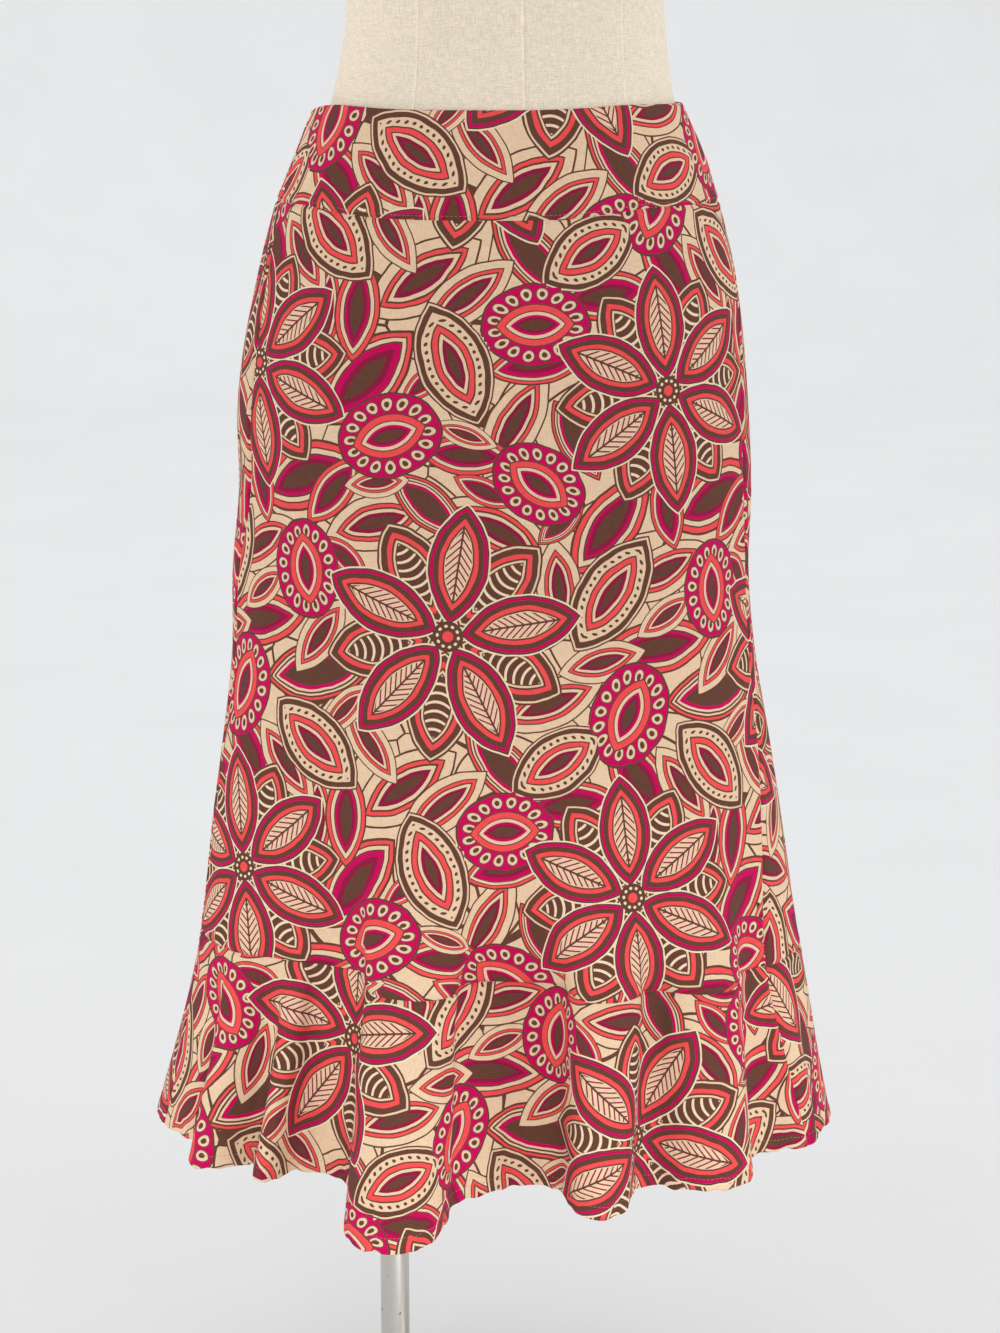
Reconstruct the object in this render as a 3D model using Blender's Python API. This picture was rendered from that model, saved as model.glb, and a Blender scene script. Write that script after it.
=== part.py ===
"""A-line skirt with a shaped yoke and a flared flounce, on a limbless dress form and its stand.

Metres, +Z up; the tables are in millimetres and degrees. The origin is the middle of the stand's
underside. The skirt's front faces -Y. Angles run round the skirt from its front middle, positive
towards +X, so 90 is the +X side and 180 the back middle.
"""

import math
from collections import namedtuple

import bmesh
import bpy
import numpy as np

MM = 0.001

# ---------------------------------------------------------------- driving sizes

WALL = 1.8            # thickness of the cloth walls
SEAM_GAP = 0.3        # between neighbouring pieces
WAIST_EDGE = 1000.0   # height of the yoke's top edge at the sides
YOKE_SEAM = 935.5     # height of the seam under the yoke
FLOUNCE_SEAM = 422.0  # height of the seam above the flounce
HEM = 285.0           # height of the hem at the sides
FRONT_MIDDLE = math.radians(-8)  # the skirt is turned a little on its form
DIP_ENDS = 0.6        # cosine of the angle from the front middle at which its dip ends

# Each level of the skirt, through the middle of the cloth: its half widths to the two sides, its
# depths to the front and back, where the side seams lie, how far its front middle dips, and how
# far its +X side hangs below its middle.
SkirtLevel = namedtuple(
    "SkirtLevel", "name height left right front back left_seam right_seam dip tilt"
)
SKIRT = (
    SkirtLevel("waist edge", WAIST_EDGE, 122.5, 121.0, 95.0, 93.0, -84, 106, 3.0, 0.0),
    SkirtLevel("yoke middle", 968.0, 136.0, 135.5, 105.0, 103.0, -81, 102, 5.0, 0.0),
    SkirtLevel("yoke seam", YOKE_SEAM, 149.0, 146.0, 113.0, 111.0, -77, 95, 7.0, 0.0),
    SkirtLevel("high hip", 890.0, 162.0, 157.5, 118.0, 119.0, -72, 84, 5.0, 0.0),
    SkirtLevel("hip", 800.0, 178.5, 169.0, 118.0, 127.0, -69, 74, 2.0, 0.0),
    SkirtLevel("thigh", 740.0, 178.5, 172.5, 115.0, 129.0, -71, 73, 0.0, 0.0),
    SkirtLevel("middle", 684.0, 184.0, 171.5, 112.0, 130.0, -76, 78, 0.0, 0.0),
    SkirtLevel("above the knee", 627.0, 186.0, 176.5, 110.0, 132.0, -78, 76, 0.0, 1.0),
    SkirtLevel("knee", 570.0, 192.5, 187.0, 110.0, 136.0, -79, 72, 0.0, 3.0),
    SkirtLevel("below the knee", 512.0, 199.5, 198.0, 111.0, 141.0, -79, 66, 0.0, 6.0),
    SkirtLevel("flounce seam", FLOUNCE_SEAM, 211.0, 213.0, 117.0, 149.0, -77, 60, 0.0, 9.0),
    SkirtLevel("middle of the flounce", 350.0, 227.5, 226.0, 118.0, 158.0, -76, 61, 4.0, 5.0),
    SkirtLevel("hem", HEM, 246.5, 238.0, 122.0, 167.0, -75, 62, 7.0, 2.0),
)

# Each fold: the angle of its crest at the flounce seam and at the hem, its half width there, how
# far it stands out there, the height where it begins, how square its sides are (0 a plain wave,
# 1 upright), how far its crest leans along the cloth, and how far it droops at the hem.
Fold = namedtuple(
    "Fold", "name angle hem_angle width hem_width reach hem_reach begins square lean droop"
)
FOLDS = (
    Fold("left front fullness", -60.0, -60.0, 70.0, 70.0, 12.0, 2.0, 640.0, 0.0, 0.0, 0.0),
    Fold("left front wave", -53.0, -49.3, 24.0, 29.0, 2.0, 32.0, 470.0, 0.4, -6.0, 0.0),
    Fold("left narrow flute", -40.0, -38.4, 16.0, 18.0, 2.0, 30.0, 450.0, 0.5, 0.0, 0.0),
    Fold("big front flute", -15.6, -15.2, 57.0, 61.0, 37.0, 82.0, 650.0, 0.9, 0.0, 17.0),
    Fold("middle swell", -4.0, -3.0, 24.0, 26.0, 0.0, 16.0, FLOUNCE_SEAM, 0.3, 0.0, 0.0),
    Fold("right front flute", 17.6, 15.2, 40.0, 36.0, 38.0, 48.0, 600.0, 0.7, 0.0, 7.0),
    Fold("right broad fold", 36.0, 33.2, 58.0, 60.0, 36.0, 37.0, 640.0, 0.3, 15.0, 2.0),
    Fold("right side wave", 64.0, 62.0, 30.0, 30.0, 2.0, 9.0, 470.0, 0.4, 0.0, 0.0),
    Fold("right back flute", 122.0, 122.0, 50.0, 54.0, 14.0, 38.0, 600.0, 0.7, 3.0, 6.0),
    Fold("back right flute", 149.0, 148.0, 46.0, 50.0, 22.0, 50.0, 640.0, 0.7, -2.0, 8.0),
    Fold("back middle wave", 171.0, 171.0, 36.0, 38.0, 6.0, 26.0, 500.0, 0.5, 3.0, 0.0),
    Fold("back left flute", -166.0, -165.0, 46.0, 52.0, 24.0, 52.0, 640.0, 0.9, 4.0, 8.0),
    Fold("left back wave", -143.0, -143.0, 38.0, 42.0, 6.0, 28.0, 520.0, 0.4, -3.0, 0.0),
    Fold("left back flute", -122.0, -122.0, 44.0, 48.0, 14.0, 38.0, 590.0, 0.7, -2.0, 6.0),
)
DEEP_FOLD = 25.0      # folds that reach further than this at the hem guide the mesh's columns

# Each level of the dress form: half widths and depths of its outside.
FormLevel = namedtuple("FormLevel", "name height left right front back")
FORM = (
    FormLevel("bottom edge", 735.0, 146.0, 140.0, 92.0, 104.0),
    FormLevel("bottom round", 743.0, 156.0, 149.0, 101.0, 113.0),
    FormLevel("seat", 772.0, 170.0, 162.0, 112.5, 123.0),
    FormLevel("hip", 798.0, 175.6, 165.8, 115.6, 124.5),
    FormLevel("over the hip", 835.0, 170.2, 162.2, 115.0, 121.2),
    FormLevel("high hip", 880.0, 157.5, 152.0, 114.0, 116.0),
    FormLevel("yoke seam", 934.0, 138.0, 138.0, 107.0, 104.0),
    FormLevel("yoke top", 1000.0, 113.0, 117.0, 93.4, 91.4),
    FormLevel("over the yoke", 1050.0, 103.0, 110.0, 86.0, 82.0),
    FormLevel("waist", 1080.0, 101.0, 108.0, 84.0, 79.0),
    FormLevel("ribs", 1140.0, 108.0, 115.0, 93.0, 84.0),
    FormLevel("under the bust", 1200.0, 122.0, 128.0, 107.0, 91.0),
    FormLevel("bust", 1265.0, 136.0, 141.0, 124.0, 98.0),
    FormLevel("chest", 1340.0, 148.0, 152.0, 107.0, 104.0),
    FormLevel("upper chest", 1390.0, 156.0, 159.0, 88.0, 103.0),
    FormLevel("shoulder edge", 1418.0, 158.0, 161.0, 78.0, 94.0),
    FormLevel("shoulder slope", 1440.0, 138.0, 141.0, 70.0, 84.0),
    FormLevel("neck root", 1466.0, 84.0, 86.0, 60.0, 64.0),
    FormLevel("neck", 1492.0, 57.0, 59.0, 52.0, 51.0),
    FormLevel("neck top", 1525.0, 54.0, 56.0, 50.0, 48.0),
)
FORM_BOTTOM = FORM[0].height
FORM_TOP = FORM[-1].height

# The stand.
POLE_X = -77.0
POLE_RADIUS = 10.5
BASE_RADIUS = 170.0
BASE_THICKNESS = 8.0
BASE_BEVEL = 1.5
PLATE_THICKNESS = 10.0
SOCKET_HEIGHT = 38.0
SOCKET_WALL = 6.5
FOOT_HEIGHT = 26.0
FOOT_WALL = 9.0
CAP_HEIGHT = 12.0

# The closed side zip's slider and pull tab, in the +X side seam.
SLIDER_DROP = 9.0      # below the waist edge
SLIDER_LENGTH = 8.0
SLIDER_WIDTH = 6.0
SLIDER_DEPTH = 1.2
LUG_THICKNESS = 0.8
LUG_RADIUS = 1.0
PIN_OUT = 1.75         # the pin's middle above the slider's face
PIN_RADIUS = 0.55
EYE_HOLE = 0.8
EYE_RADIUS = 1.4
EYE_WIDTH = 2.4
TAB_LENGTH = 17.0
TAB_WIDTH = 6.0
TAB_NECK = 2.2
TAB_THICKNESS = 1.1
TAB_INSET = 0.6        # the tab's middle nearer to the cloth than its pin

MESH_SIDES = 24


# ---------------------------------------------------------------- the skirt's form

def through(levels, column, height):
    """The column's value at each height, on a smooth curve through the table's levels."""
    rows = sorted(levels, key=lambda level: level.height)
    heights = np.array([row.height for row in rows])
    values = np.array([getattr(row, column) for row in rows], dtype=float)
    slopes = np.gradient(values, heights)
    height = np.clip(height, heights[0], heights[-1])
    low = np.clip(np.searchsorted(heights, height, side="right") - 1, 0, len(rows) - 2)
    span = heights[low + 1] - heights[low]
    t = (height - heights[low]) / span
    return (
        values[low] * (1 + 2 * t) * (1 - t) ** 2
        + slopes[low] * span * t * (1 - t) ** 2
        + values[low + 1] * t**2 * (3 - 2 * t)
        + slopes[low + 1] * span * t**2 * (t - 1)
    )


def oval(levels, angle, height):
    """x and y of a level's oval: a quarter ellipse between each side and the front or back."""
    across = np.where(
        np.sin(angle) < 0, through(levels, "left", height), through(levels, "right", height)
    )
    along = np.where(
        np.cos(angle) > 0, through(levels, "front", height), through(levels, "back", height)
    )
    return across * np.sin(angle), -along * np.cos(angle), across, along


def smooth_step(t):
    t = np.clip(t, 0.0, 1.0)
    return t * t * (3 - 2 * t)


def share_down(height):
    """How far down the flounce a height lies: 0 at its seam and above, 1 at the hem."""
    return np.clip((FLOUNCE_SEAM - height) / (FLOUNCE_SEAM - HEM), 0.0, 1.0)


def fold_crest(fold, height):
    """The crest's angle in radians and the cloth's stride there: millimetres for each radian."""
    crest = np.radians(fold.angle + (fold.hem_angle - fold.angle) * share_down(height))
    _, _, across, along = oval(SKIRT, crest, height)
    return crest, np.hypot(across * np.cos(crest), along * np.sin(crest))


def skirt_surface(angle, height):
    """Points through the middle of the cloth, in millimetres, at each angle (radians) and height."""
    angle, height = np.broadcast_arrays(angle, height)
    x, y, across, along = oval(SKIRT, angle, height)
    normal = np.stack([along * np.sin(angle), -across * np.cos(angle)])
    normal /= np.hypot(*normal)
    tangent = np.stack([-normal[1], normal[0]])
    down = share_down(height)
    droop = np.zeros_like(x)
    for fold in FOLDS:
        crest, stride = fold_crest(fold, height)
        rise = max(fold.begins - FLOUNCE_SEAM, 1.0)
        begun = np.clip((fold.begins - height) / rise, 0.0, 1.0) ** 2
        half = (fold.width + (fold.hem_width - fold.width) * down) * (1.5 - 0.5 * begun)
        reach = (fold.reach + (fold.hem_reach - fold.reach) * down) * begun
        turn = np.mod(angle - crest + np.pi, 2 * np.pi) - np.pi
        t = np.clip(turn * stride / half, -1.0, 1.0)
        wave = 0.5 * (1 + np.cos(np.pi * t))
        spread = begun * fold.square * half / (2 * np.pi) * np.sin(2 * np.pi * t)
        spread = spread + fold.lean * wave * begun * (0.4 + 0.6 * down)
        x = x + normal[0] * reach * wave + tangent[0] * spread
        y = y + normal[1] * reach * wave + tangent[1] * spread
        droop = droop + fold.droop * wave * begun * (0.3 + 0.7 * down**2)
    front = smooth_step((np.cos(angle - FRONT_MIDDLE) - DIP_ENDS) / (1 - DIP_ENDS))
    dip = through(SKIRT, "dip", height) * front + through(SKIRT, "tilt", height) * np.sin(angle)
    return np.stack([x, y, height - dip - droop], axis=-1)


def seam_angles(height):
    """Angles of the two side seams at each height, in radians."""
    left = np.radians(through(SKIRT, "left_seam", height))
    right = np.radians(through(SKIRT, "right_seam", height))
    return left, right


def panel_guides(side, height):
    """Angles at a height of lines down a panel: its -X seam, its deep folds' sides, its +X seam."""
    left, right = seam_angles(height)
    half_gap = 0.5 * SEAM_GAP / through(SKIRT, "right", height)
    turn = 1.0 if side == "front" else -1.0
    end = right - half_gap if side == "front" else right - 2 * np.pi + half_gap
    level = np.minimum(height, FLOUNCE_SEAM)  # above the flounce they run straight up
    sides = []
    for fold in FOLDS:
        crest, stride = fold_crest(fold, level)
        quarter = 0.5 * (fold.width + (fold.hem_width - fold.width) * share_down(level)) / stride
        in_front = math.cos(math.radians(fold.hem_angle)) > 0
        if fold.hem_reach > DEEP_FOLD and in_front == (side == "front"):
            crest = crest if in_front else -np.mod(-crest, 2 * np.pi)
            sides += [crest - turn * quarter, crest + turn * quarter]
    sides.sort(key=lambda line: turn * float(np.mean(line)))
    return [left + turn * half_gap, *sides, end]


def panel_angles(side, height, share):
    """Angles across the front or back panel: share 0 to 1 from its -X seam to its +X seam.

    The shares are even in angle at the hem, and higher up they follow the panel's guides."""
    guides = panel_guides(side, height)
    hem_guides = panel_guides(side, np.array(HEM))
    place = hem_guides[0] + (hem_guides[-1] - hem_guides[0]) * share
    angle = guides[0]
    for low, high, hem_low, hem_high in zip(guides, guides[1:], hem_guides, hem_guides[1:]):
        angle = angle + (high - low) * np.clip((place - hem_low) / (hem_high - hem_low), 0.0, 1.0)
    return angle


def even_shares(side, height, columns):
    """Shares that put the columns evenly along the cloth at this height."""
    fine = np.linspace(0.0, 1.0, 1601)
    line = skirt_surface(panel_angles(side, height, fine), height)
    length = np.concatenate([[0.0], np.cumsum(np.linalg.norm(np.diff(line, axis=0), axis=1))])
    return np.interp(np.linspace(0.0, length[-1], columns + 1), length, fine)


# ---------------------------------------------------------------- meshes

def material(name, color, roughness, metallic=0.0):
    made = bpy.data.materials.new(name)
    made.use_nodes = True
    shader = made.node_tree.nodes["Principled BSDF"]
    shader.inputs["Base Color"].default_value = (*color, 1.0)
    shader.inputs["Roughness"].default_value = roughness
    shader.inputs["Metallic"].default_value = metallic
    return made


def mesh_object(name, points, faces, finish, sharp=40.0):
    """An object from points in millimetres, shaded smooth but for edges over sharp degrees."""
    mesh = bpy.data.meshes.new(name)
    mesh.from_pydata((np.asarray(points) * MM).tolist(), [], [list(face) for face in faces])
    mesh.update()
    mesh.materials.append(finish)
    mesh.shade_smooth()
    mesh.set_sharp_from_angle(angle=math.radians(sharp))
    made = bpy.data.objects.new(name, mesh)
    bpy.context.scene.collection.objects.link(made)
    return made


def grid_faces(rows, columns, first=0):
    """Quads of a grid of points whose rows run down and columns run right, seen from outside."""
    index = first + np.arange(rows * columns).reshape(rows, columns)
    corners = [index[:-1, :-1], index[1:, :-1], index[1:, 1:], index[:-1, 1:]]
    return np.stack(corners, axis=-1).reshape(-1, 4)


def rim_faces(rows, columns):
    """Quads that join the outer grid's edge to the inner grid's, which follows it in the points."""
    index = np.arange(rows * columns).reshape(rows, columns)
    loop = np.concatenate([index[:, 0], index[-1, 1:], index[-2::-1, -1], index[0, -2:0:-1]])
    ahead = np.roll(loop, -1)
    inner = rows * columns
    return np.stack([loop, loop + inner, ahead + inner, ahead], axis=-1)


def cloth_panel(name, side, top, bottom, columns, rows, finish):
    """One cut piece: a wall through skirt_surface between two heights and the two side seams."""
    heights = np.linspace(top - 0.5 * SEAM_GAP, bottom + 0.5 * SEAM_GAP, rows + 1)[:, None]
    share = even_shares(side, bottom, columns)[None, :]

    def middle(height_shift, share_shift):
        height = heights + height_shift
        return skirt_surface(panel_angles(side, height, share + share_shift), height)

    small = 1e-4
    across = middle(0.0, small) - middle(0.0, -small)
    down = middle(-small, 0.0) - middle(small, 0.0)
    normal = np.cross(down, across)
    if side == "back":
        normal = -normal
    normal[[0, -1], :, 2] = 0.0  # the cut edges end level, so neighbours meet squarely
    normal /= np.linalg.norm(normal, axis=-1, keepdims=True)
    centre = middle(0.0, 0.0)
    outer = centre + normal * WALL / 2
    inner = centre - normal * WALL / 2
    points = np.concatenate([outer.reshape(-1, 3), inner.reshape(-1, 3)])
    outside = grid_faces(rows + 1, columns + 1)
    inside = grid_faces(rows + 1, columns + 1, (rows + 1) * (columns + 1))[:, ::-1]
    faces = np.concatenate([outside, inside, rim_faces(rows + 1, columns + 1)])
    if side == "back":
        faces = faces[:, ::-1]
    return mesh_object(name, points, faces, finish, sharp=60.0)


def turned(name, profile, sides, finish, centre=(0.0, 0.0)):
    """A solid of revolution: profile is (radius, height) pairs from the bottom axis to the top one."""
    turn = np.linspace(0.0, 2 * np.pi, sides, endpoint=False)
    ring = [
        np.stack([r * np.cos(turn) + centre[0], r * np.sin(turn) + centre[1], np.full(sides, z)], -1)
        for r, z in profile
    ]
    points = np.concatenate(ring)
    rows = len(profile)
    index = np.arange(rows * sides).reshape(rows, sides)
    ahead = np.roll(index, -1, axis=1)
    quads = np.stack([index[:-1], ahead[:-1], ahead[1:], index[1:]], axis=-1).reshape(-1, 4)
    faces = [list(quad) for quad in quads] + [list(index[0, ::-1]), list(index[-1])]
    return mesh_object(name, points, faces, finish)


def turned_ring(name, bore, outside, bottom, top, bevel, sides, finish, centre):
    """A collar round the pole: its section is a rectangle with the outer corners cut off."""
    section = [
        (bore, bottom),
        (outside - bevel, bottom),
        (outside, bottom + bevel),
        (outside, top - bevel),
        (outside - bevel, top),
        (bore, top),
    ]
    turn = np.linspace(0.0, 2 * np.pi, sides, endpoint=False)
    rings = [
        np.stack([r * np.cos(turn) + centre[0], r * np.sin(turn) + centre[1], np.full(sides, z)], -1)
        for r, z in section
    ]
    rows = len(section)
    index = np.arange(rows * sides).reshape(rows, sides)
    below = np.roll(index, -1, axis=0)
    quads = np.stack(
        [index, np.roll(index, -1, axis=1), np.roll(below, -1, axis=1), below], axis=-1
    )
    return mesh_object(name, np.concatenate(rings), quads.reshape(-1, 4), finish)


# ---------------------------------------------------------------- cloth

def make_skirt(cloth):
    pieces = (
        ("yoke", WAIST_EDGE + 0.5 * SEAM_GAP, YOKE_SEAM, 30, 3),
        ("skirt", YOKE_SEAM, FLOUNCE_SEAM, 50, 14),
        ("flounce", FLOUNCE_SEAM, HEM - 0.5 * SEAM_GAP, 78, 6),
    )
    for piece, top, bottom, columns, rows in pieces:
        for side in ("front", "back"):
            cloth_panel(f"{piece}_{side}", side, top, bottom, columns, rows, cloth)


# ---------------------------------------------------------------- the dress form and its stand

def make_form(linen, board):
    """The torso, lofted through its levels, with a board under it and a cap on its neck."""
    sides = 36
    angle = np.linspace(-np.pi, np.pi, sides, endpoint=False)
    bottom_rows = (FORM_BOTTOM, 738.0, 743.0, 752.0)
    height = np.concatenate([bottom_rows, np.linspace(770.0, FORM_TOP, 28)])[:, None]
    x, y, _, _ = oval(FORM, angle[None, :], height)
    points = np.stack([x, y, np.broadcast_to(height, x.shape)], axis=-1)
    index = np.arange(x.size).reshape(x.shape)
    ahead = np.roll(index, -1, axis=1)
    quads = np.stack([index[:-1], ahead[:-1], ahead[1:], index[1:]], axis=-1).reshape(-1, 4)
    faces = [list(quad) for quad in quads] + [list(index[0, ::-1]), list(index[-1])]
    mesh_object("form_torso", points.reshape(-1, 3), faces, linen)

    def slab(name, level, inset, low, high, finish):
        """A flat piece of a level's own outline, drawn in by inset, between two heights."""
        rim_x, rim_y, _, _ = oval(FORM, angle, np.full(sides, level.height))
        length = np.hypot(rim_x, rim_y)
        rim = np.stack([rim_x, rim_y], -1) * (1 - inset / length)[:, None]
        rings = [np.column_stack([rim, np.full(sides, z)]) for z in (low, high)]
        order = np.arange(sides)
        walls = np.stack([order, np.roll(order, -1), np.roll(order, -1) + sides, order + sides], -1)
        ends = [list(order[::-1]), list(order + sides)]
        mesh_object(name, np.concatenate(rings), [list(wall) for wall in walls] + ends, finish)

    plate_top = FORM_BOTTOM - SEAM_GAP
    slab("form_base_plate", FORM[0], 6.0, plate_top - PLATE_THICKNESS, plate_top, board)
    cap_bottom = FORM_TOP + SEAM_GAP
    slab("form_neck_cap", FORM[-1], 2.0, cap_bottom, cap_bottom + CAP_HEIGHT, board)


def make_stand(steel):
    """A round base plate, the pole with a foot collar, and the socket that holds the form."""
    pole_at = (POLE_X, 0.0)
    turned(
        "stand_base",
        (
            (BASE_RADIUS - BASE_BEVEL, 0.0),
            (BASE_RADIUS, BASE_BEVEL),
            (BASE_RADIUS, BASE_THICKNESS - BASE_BEVEL),
            (BASE_RADIUS - BASE_BEVEL, BASE_THICKNESS),
        ),
        48,
        steel,
    )
    pole_bottom = BASE_THICKNESS + SEAM_GAP
    plate_bottom = FORM_BOTTOM - SEAM_GAP - PLATE_THICKNESS
    pole_top = plate_bottom - SEAM_GAP
    turned(
        "pole",
        ((POLE_RADIUS, pole_bottom), (POLE_RADIUS, pole_top)),
        MESH_SIDES,
        steel,
        pole_at,
    )
    bore = POLE_RADIUS + SEAM_GAP
    turned_ring(
        "pole_foot", bore, bore + FOOT_WALL, pole_bottom, pole_bottom + FOOT_HEIGHT, 2.0,
        MESH_SIDES, steel, pole_at,
    )
    turned_ring(
        "pole_socket", bore, bore + SOCKET_WALL, pole_top - SOCKET_HEIGHT, pole_top, 1.0,
        MESH_SIDES, steel, pole_at,
    )


# ---------------------------------------------------------------- the zip's slider and pull

def box(name, low, high, finish):
    """A plain block between two corners, in the slider's own directions."""
    corners = np.array([[x, y, z] for x in (0, 1) for y in (0, 1) for z in (0, 1)], dtype=float)
    points = np.array(low) + corners * (np.array(high) - np.array(low))
    faces = ((0, 1, 3, 2), (4, 6, 7, 5), (0, 4, 5, 1), (2, 3, 7, 6), (0, 2, 6, 4), (1, 5, 7, 3))
    return mesh_object(name, points, faces, finish)


def cross_rod(name, radius, low, high, out, sides, finish):
    """A rod along the slider's width (its X), its middle at Y = out above the cloth."""
    turn = np.linspace(0.0, 2 * np.pi, sides, endpoint=False)
    rings = [
        np.stack([np.full(sides, x), out + radius * np.cos(turn), radius * np.sin(turn)], -1)
        for x in (low, high)
    ]
    order = np.arange(sides)
    walls = np.stack([order, np.roll(order, -1), np.roll(order, -1) + sides, order + sides], -1)
    faces = [list(wall) for wall in walls] + [list(order[::-1]), list(order + sides)]
    return mesh_object(name, np.concatenate(rings), faces, finish)


def combine(target, other, operation):
    """Joins other to target, or cuts it out, and keeps the result as target's own mesh."""
    change = target.modifiers.new(operation.title(), "BOOLEAN")
    change.operation = operation
    change.object = other
    graph = bpy.context.evaluated_depsgraph_get()
    result = bpy.data.meshes.new_from_object(target.evaluated_get(graph))
    target.modifiers.clear()
    target.data = result
    bpy.data.objects.remove(other)


def slider_place():
    """Where the slider lies: a point on the cloth's outside and its width, outward and up axes."""
    height = WAIST_EDGE - SLIDER_DROP
    _, seam = seam_angles(np.array(height))
    step = 1e-3
    middle = skirt_surface(seam, height)
    across = skirt_surface(seam + step, height) - skirt_surface(seam - step, height)
    up = skirt_surface(seam, height + step) - skirt_surface(seam, height - step)
    up /= np.linalg.norm(up)
    out = np.cross(across, up)
    out /= np.linalg.norm(out)
    width = np.cross(out, up)
    return middle + out * (WALL / 2 + SEAM_GAP), width, out, up


def make_zip(metal):
    """The slider lies on the closed seam; its pull tab turns on the pin between its two lugs."""
    pin_out = SLIDER_DEPTH + PIN_OUT
    slider = box(
        "zip_slider",
        (-SLIDER_WIDTH / 2, 0.0, -SLIDER_LENGTH / 2),
        (SLIDER_WIDTH / 2, SLIDER_DEPTH, SLIDER_LENGTH / 2),
        metal,
    )
    lug_inside = EYE_WIDTH / 2 + 0.4
    for side in (-1, 1):
        ends = sorted((side * lug_inside, side * (lug_inside + LUG_THICKNESS)))
        lug = box(
            "lug",
            (ends[0], SLIDER_DEPTH - 0.4, -LUG_RADIUS),
            (ends[1], pin_out + LUG_RADIUS, LUG_RADIUS),
            metal,
        )
        combine(slider, lug, "UNION")
    pin_reach = lug_inside + LUG_THICKNESS / 2
    pin = cross_rod("pin", PIN_RADIUS, -pin_reach, pin_reach, pin_out, 16, metal)
    combine(slider, pin, "UNION")

    pull = cross_rod("zip_pull", EYE_RADIUS, -EYE_WIDTH / 2, EYE_WIDTH / 2, pin_out, 20, metal)
    tab_out = pin_out - TAB_INSET
    widths = ((-0.9, TAB_NECK), (-3.0, TAB_NECK), (-6.0, 4.2), (-10.0, TAB_WIDTH),
              (-14.0, TAB_WIDTH), (-16.2, 4.4), (-TAB_LENGTH, 2.2))
    outline = [(w / 2, z) for z, w in widths] + [(-w / 2, z) for z, w in reversed(widths)]
    count = len(outline)
    levels = (tab_out - TAB_THICKNESS / 2, tab_out + TAB_THICKNESS / 2)
    points = [(x, y, z) for y in levels for x, z in outline]
    sides = [(i, (i + 1) % count, (i + 1) % count + count, i + count) for i in range(count)]
    faces = [tuple(range(count - 1, -1, -1)), tuple(range(count, 2 * count))] + sides
    tab = mesh_object("tab", points, faces, metal)
    combine(pull, tab, "UNION")
    hole = cross_rod("hole", EYE_HOLE, -EYE_WIDTH, EYE_WIDTH, pin_out, 16, metal)
    combine(pull, hole, "DIFFERENCE")

    origin, width, out, up = slider_place()
    hinge = origin + out * pin_out
    for made in (slider, pull):
        points = np.array([vertex.co for vertex in made.data.vertices]) / MM
        placed = (points - (0.0, pin_out, 0.0)) @ np.array([width, out, up])
        made.data.vertices.foreach_set("co", (placed * MM).ravel())
        made.data.update()
        made.location = (hinge * MM).tolist()
    return slider, pull


def outward(made):
    """Turns every face of a closed mesh outwards."""
    shape = bmesh.new()
    shape.from_mesh(made.data)
    bmesh.ops.recalc_face_normals(shape, faces=shape.faces)
    shape.to_mesh(made.data)
    shape.free()


def main():
    for old in list(bpy.data.objects):
        bpy.data.objects.remove(old)
    cloth = material("printed_linen_cloth", (0.78, 0.56, 0.42), 0.85)
    linen = material("form_linen", (0.72, 0.68, 0.60), 0.9)
    board = material("form_board", (0.70, 0.66, 0.58), 0.8)
    steel = material("stand_steel", (0.72, 0.72, 0.72), 0.3, 1.0)
    zip_metal = material("zip_metal", (0.45, 0.34, 0.28), 0.4, 0.8)
    make_skirt(cloth)
    make_form(linen, board)
    make_stand(steel)
    for made in make_zip(zip_metal):
        outward(made)


main()
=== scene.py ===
# %% [markdown]
# # A printed a-line skirt on its dress form
#
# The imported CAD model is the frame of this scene: it fixes every size and place. This script
# dresses it. Each cut piece of the skirt gets a fine shell with its creases, seams and stitches,
# the dress form gets its linen cover and sewn seams, and the stand gets its satin steel.
# Heights and widths of the cloth are in millimetres, as a pattern cutter writes them, and are
# turned into metres when a mesh is made.

import math
from collections import namedtuple
from functools import partialmethod

import bmesh
import bpy
import numpy as np
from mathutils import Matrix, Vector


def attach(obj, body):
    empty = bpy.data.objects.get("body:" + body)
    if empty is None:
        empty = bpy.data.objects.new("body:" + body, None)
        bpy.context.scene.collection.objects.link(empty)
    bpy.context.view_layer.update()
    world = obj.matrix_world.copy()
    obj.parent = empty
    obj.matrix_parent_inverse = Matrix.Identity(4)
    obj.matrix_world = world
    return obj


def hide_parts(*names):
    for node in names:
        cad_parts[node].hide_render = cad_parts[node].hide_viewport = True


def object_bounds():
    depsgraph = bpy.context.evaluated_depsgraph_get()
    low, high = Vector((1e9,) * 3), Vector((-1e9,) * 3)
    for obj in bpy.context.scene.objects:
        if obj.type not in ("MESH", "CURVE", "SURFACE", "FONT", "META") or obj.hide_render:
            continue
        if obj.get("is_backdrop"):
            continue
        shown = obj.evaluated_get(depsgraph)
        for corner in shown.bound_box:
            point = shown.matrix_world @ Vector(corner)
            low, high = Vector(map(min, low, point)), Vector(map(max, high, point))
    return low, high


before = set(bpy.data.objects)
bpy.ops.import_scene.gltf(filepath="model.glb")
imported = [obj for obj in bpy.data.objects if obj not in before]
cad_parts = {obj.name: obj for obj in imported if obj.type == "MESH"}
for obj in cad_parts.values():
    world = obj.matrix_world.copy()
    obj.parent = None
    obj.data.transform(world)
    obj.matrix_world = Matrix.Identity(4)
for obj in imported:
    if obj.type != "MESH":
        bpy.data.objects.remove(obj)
cad_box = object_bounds()
MM = 0.001
CM = 0.01
FULL_TURN = 2 * np.pi
print("nodes:", ", ".join(sorted(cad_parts)))

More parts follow.
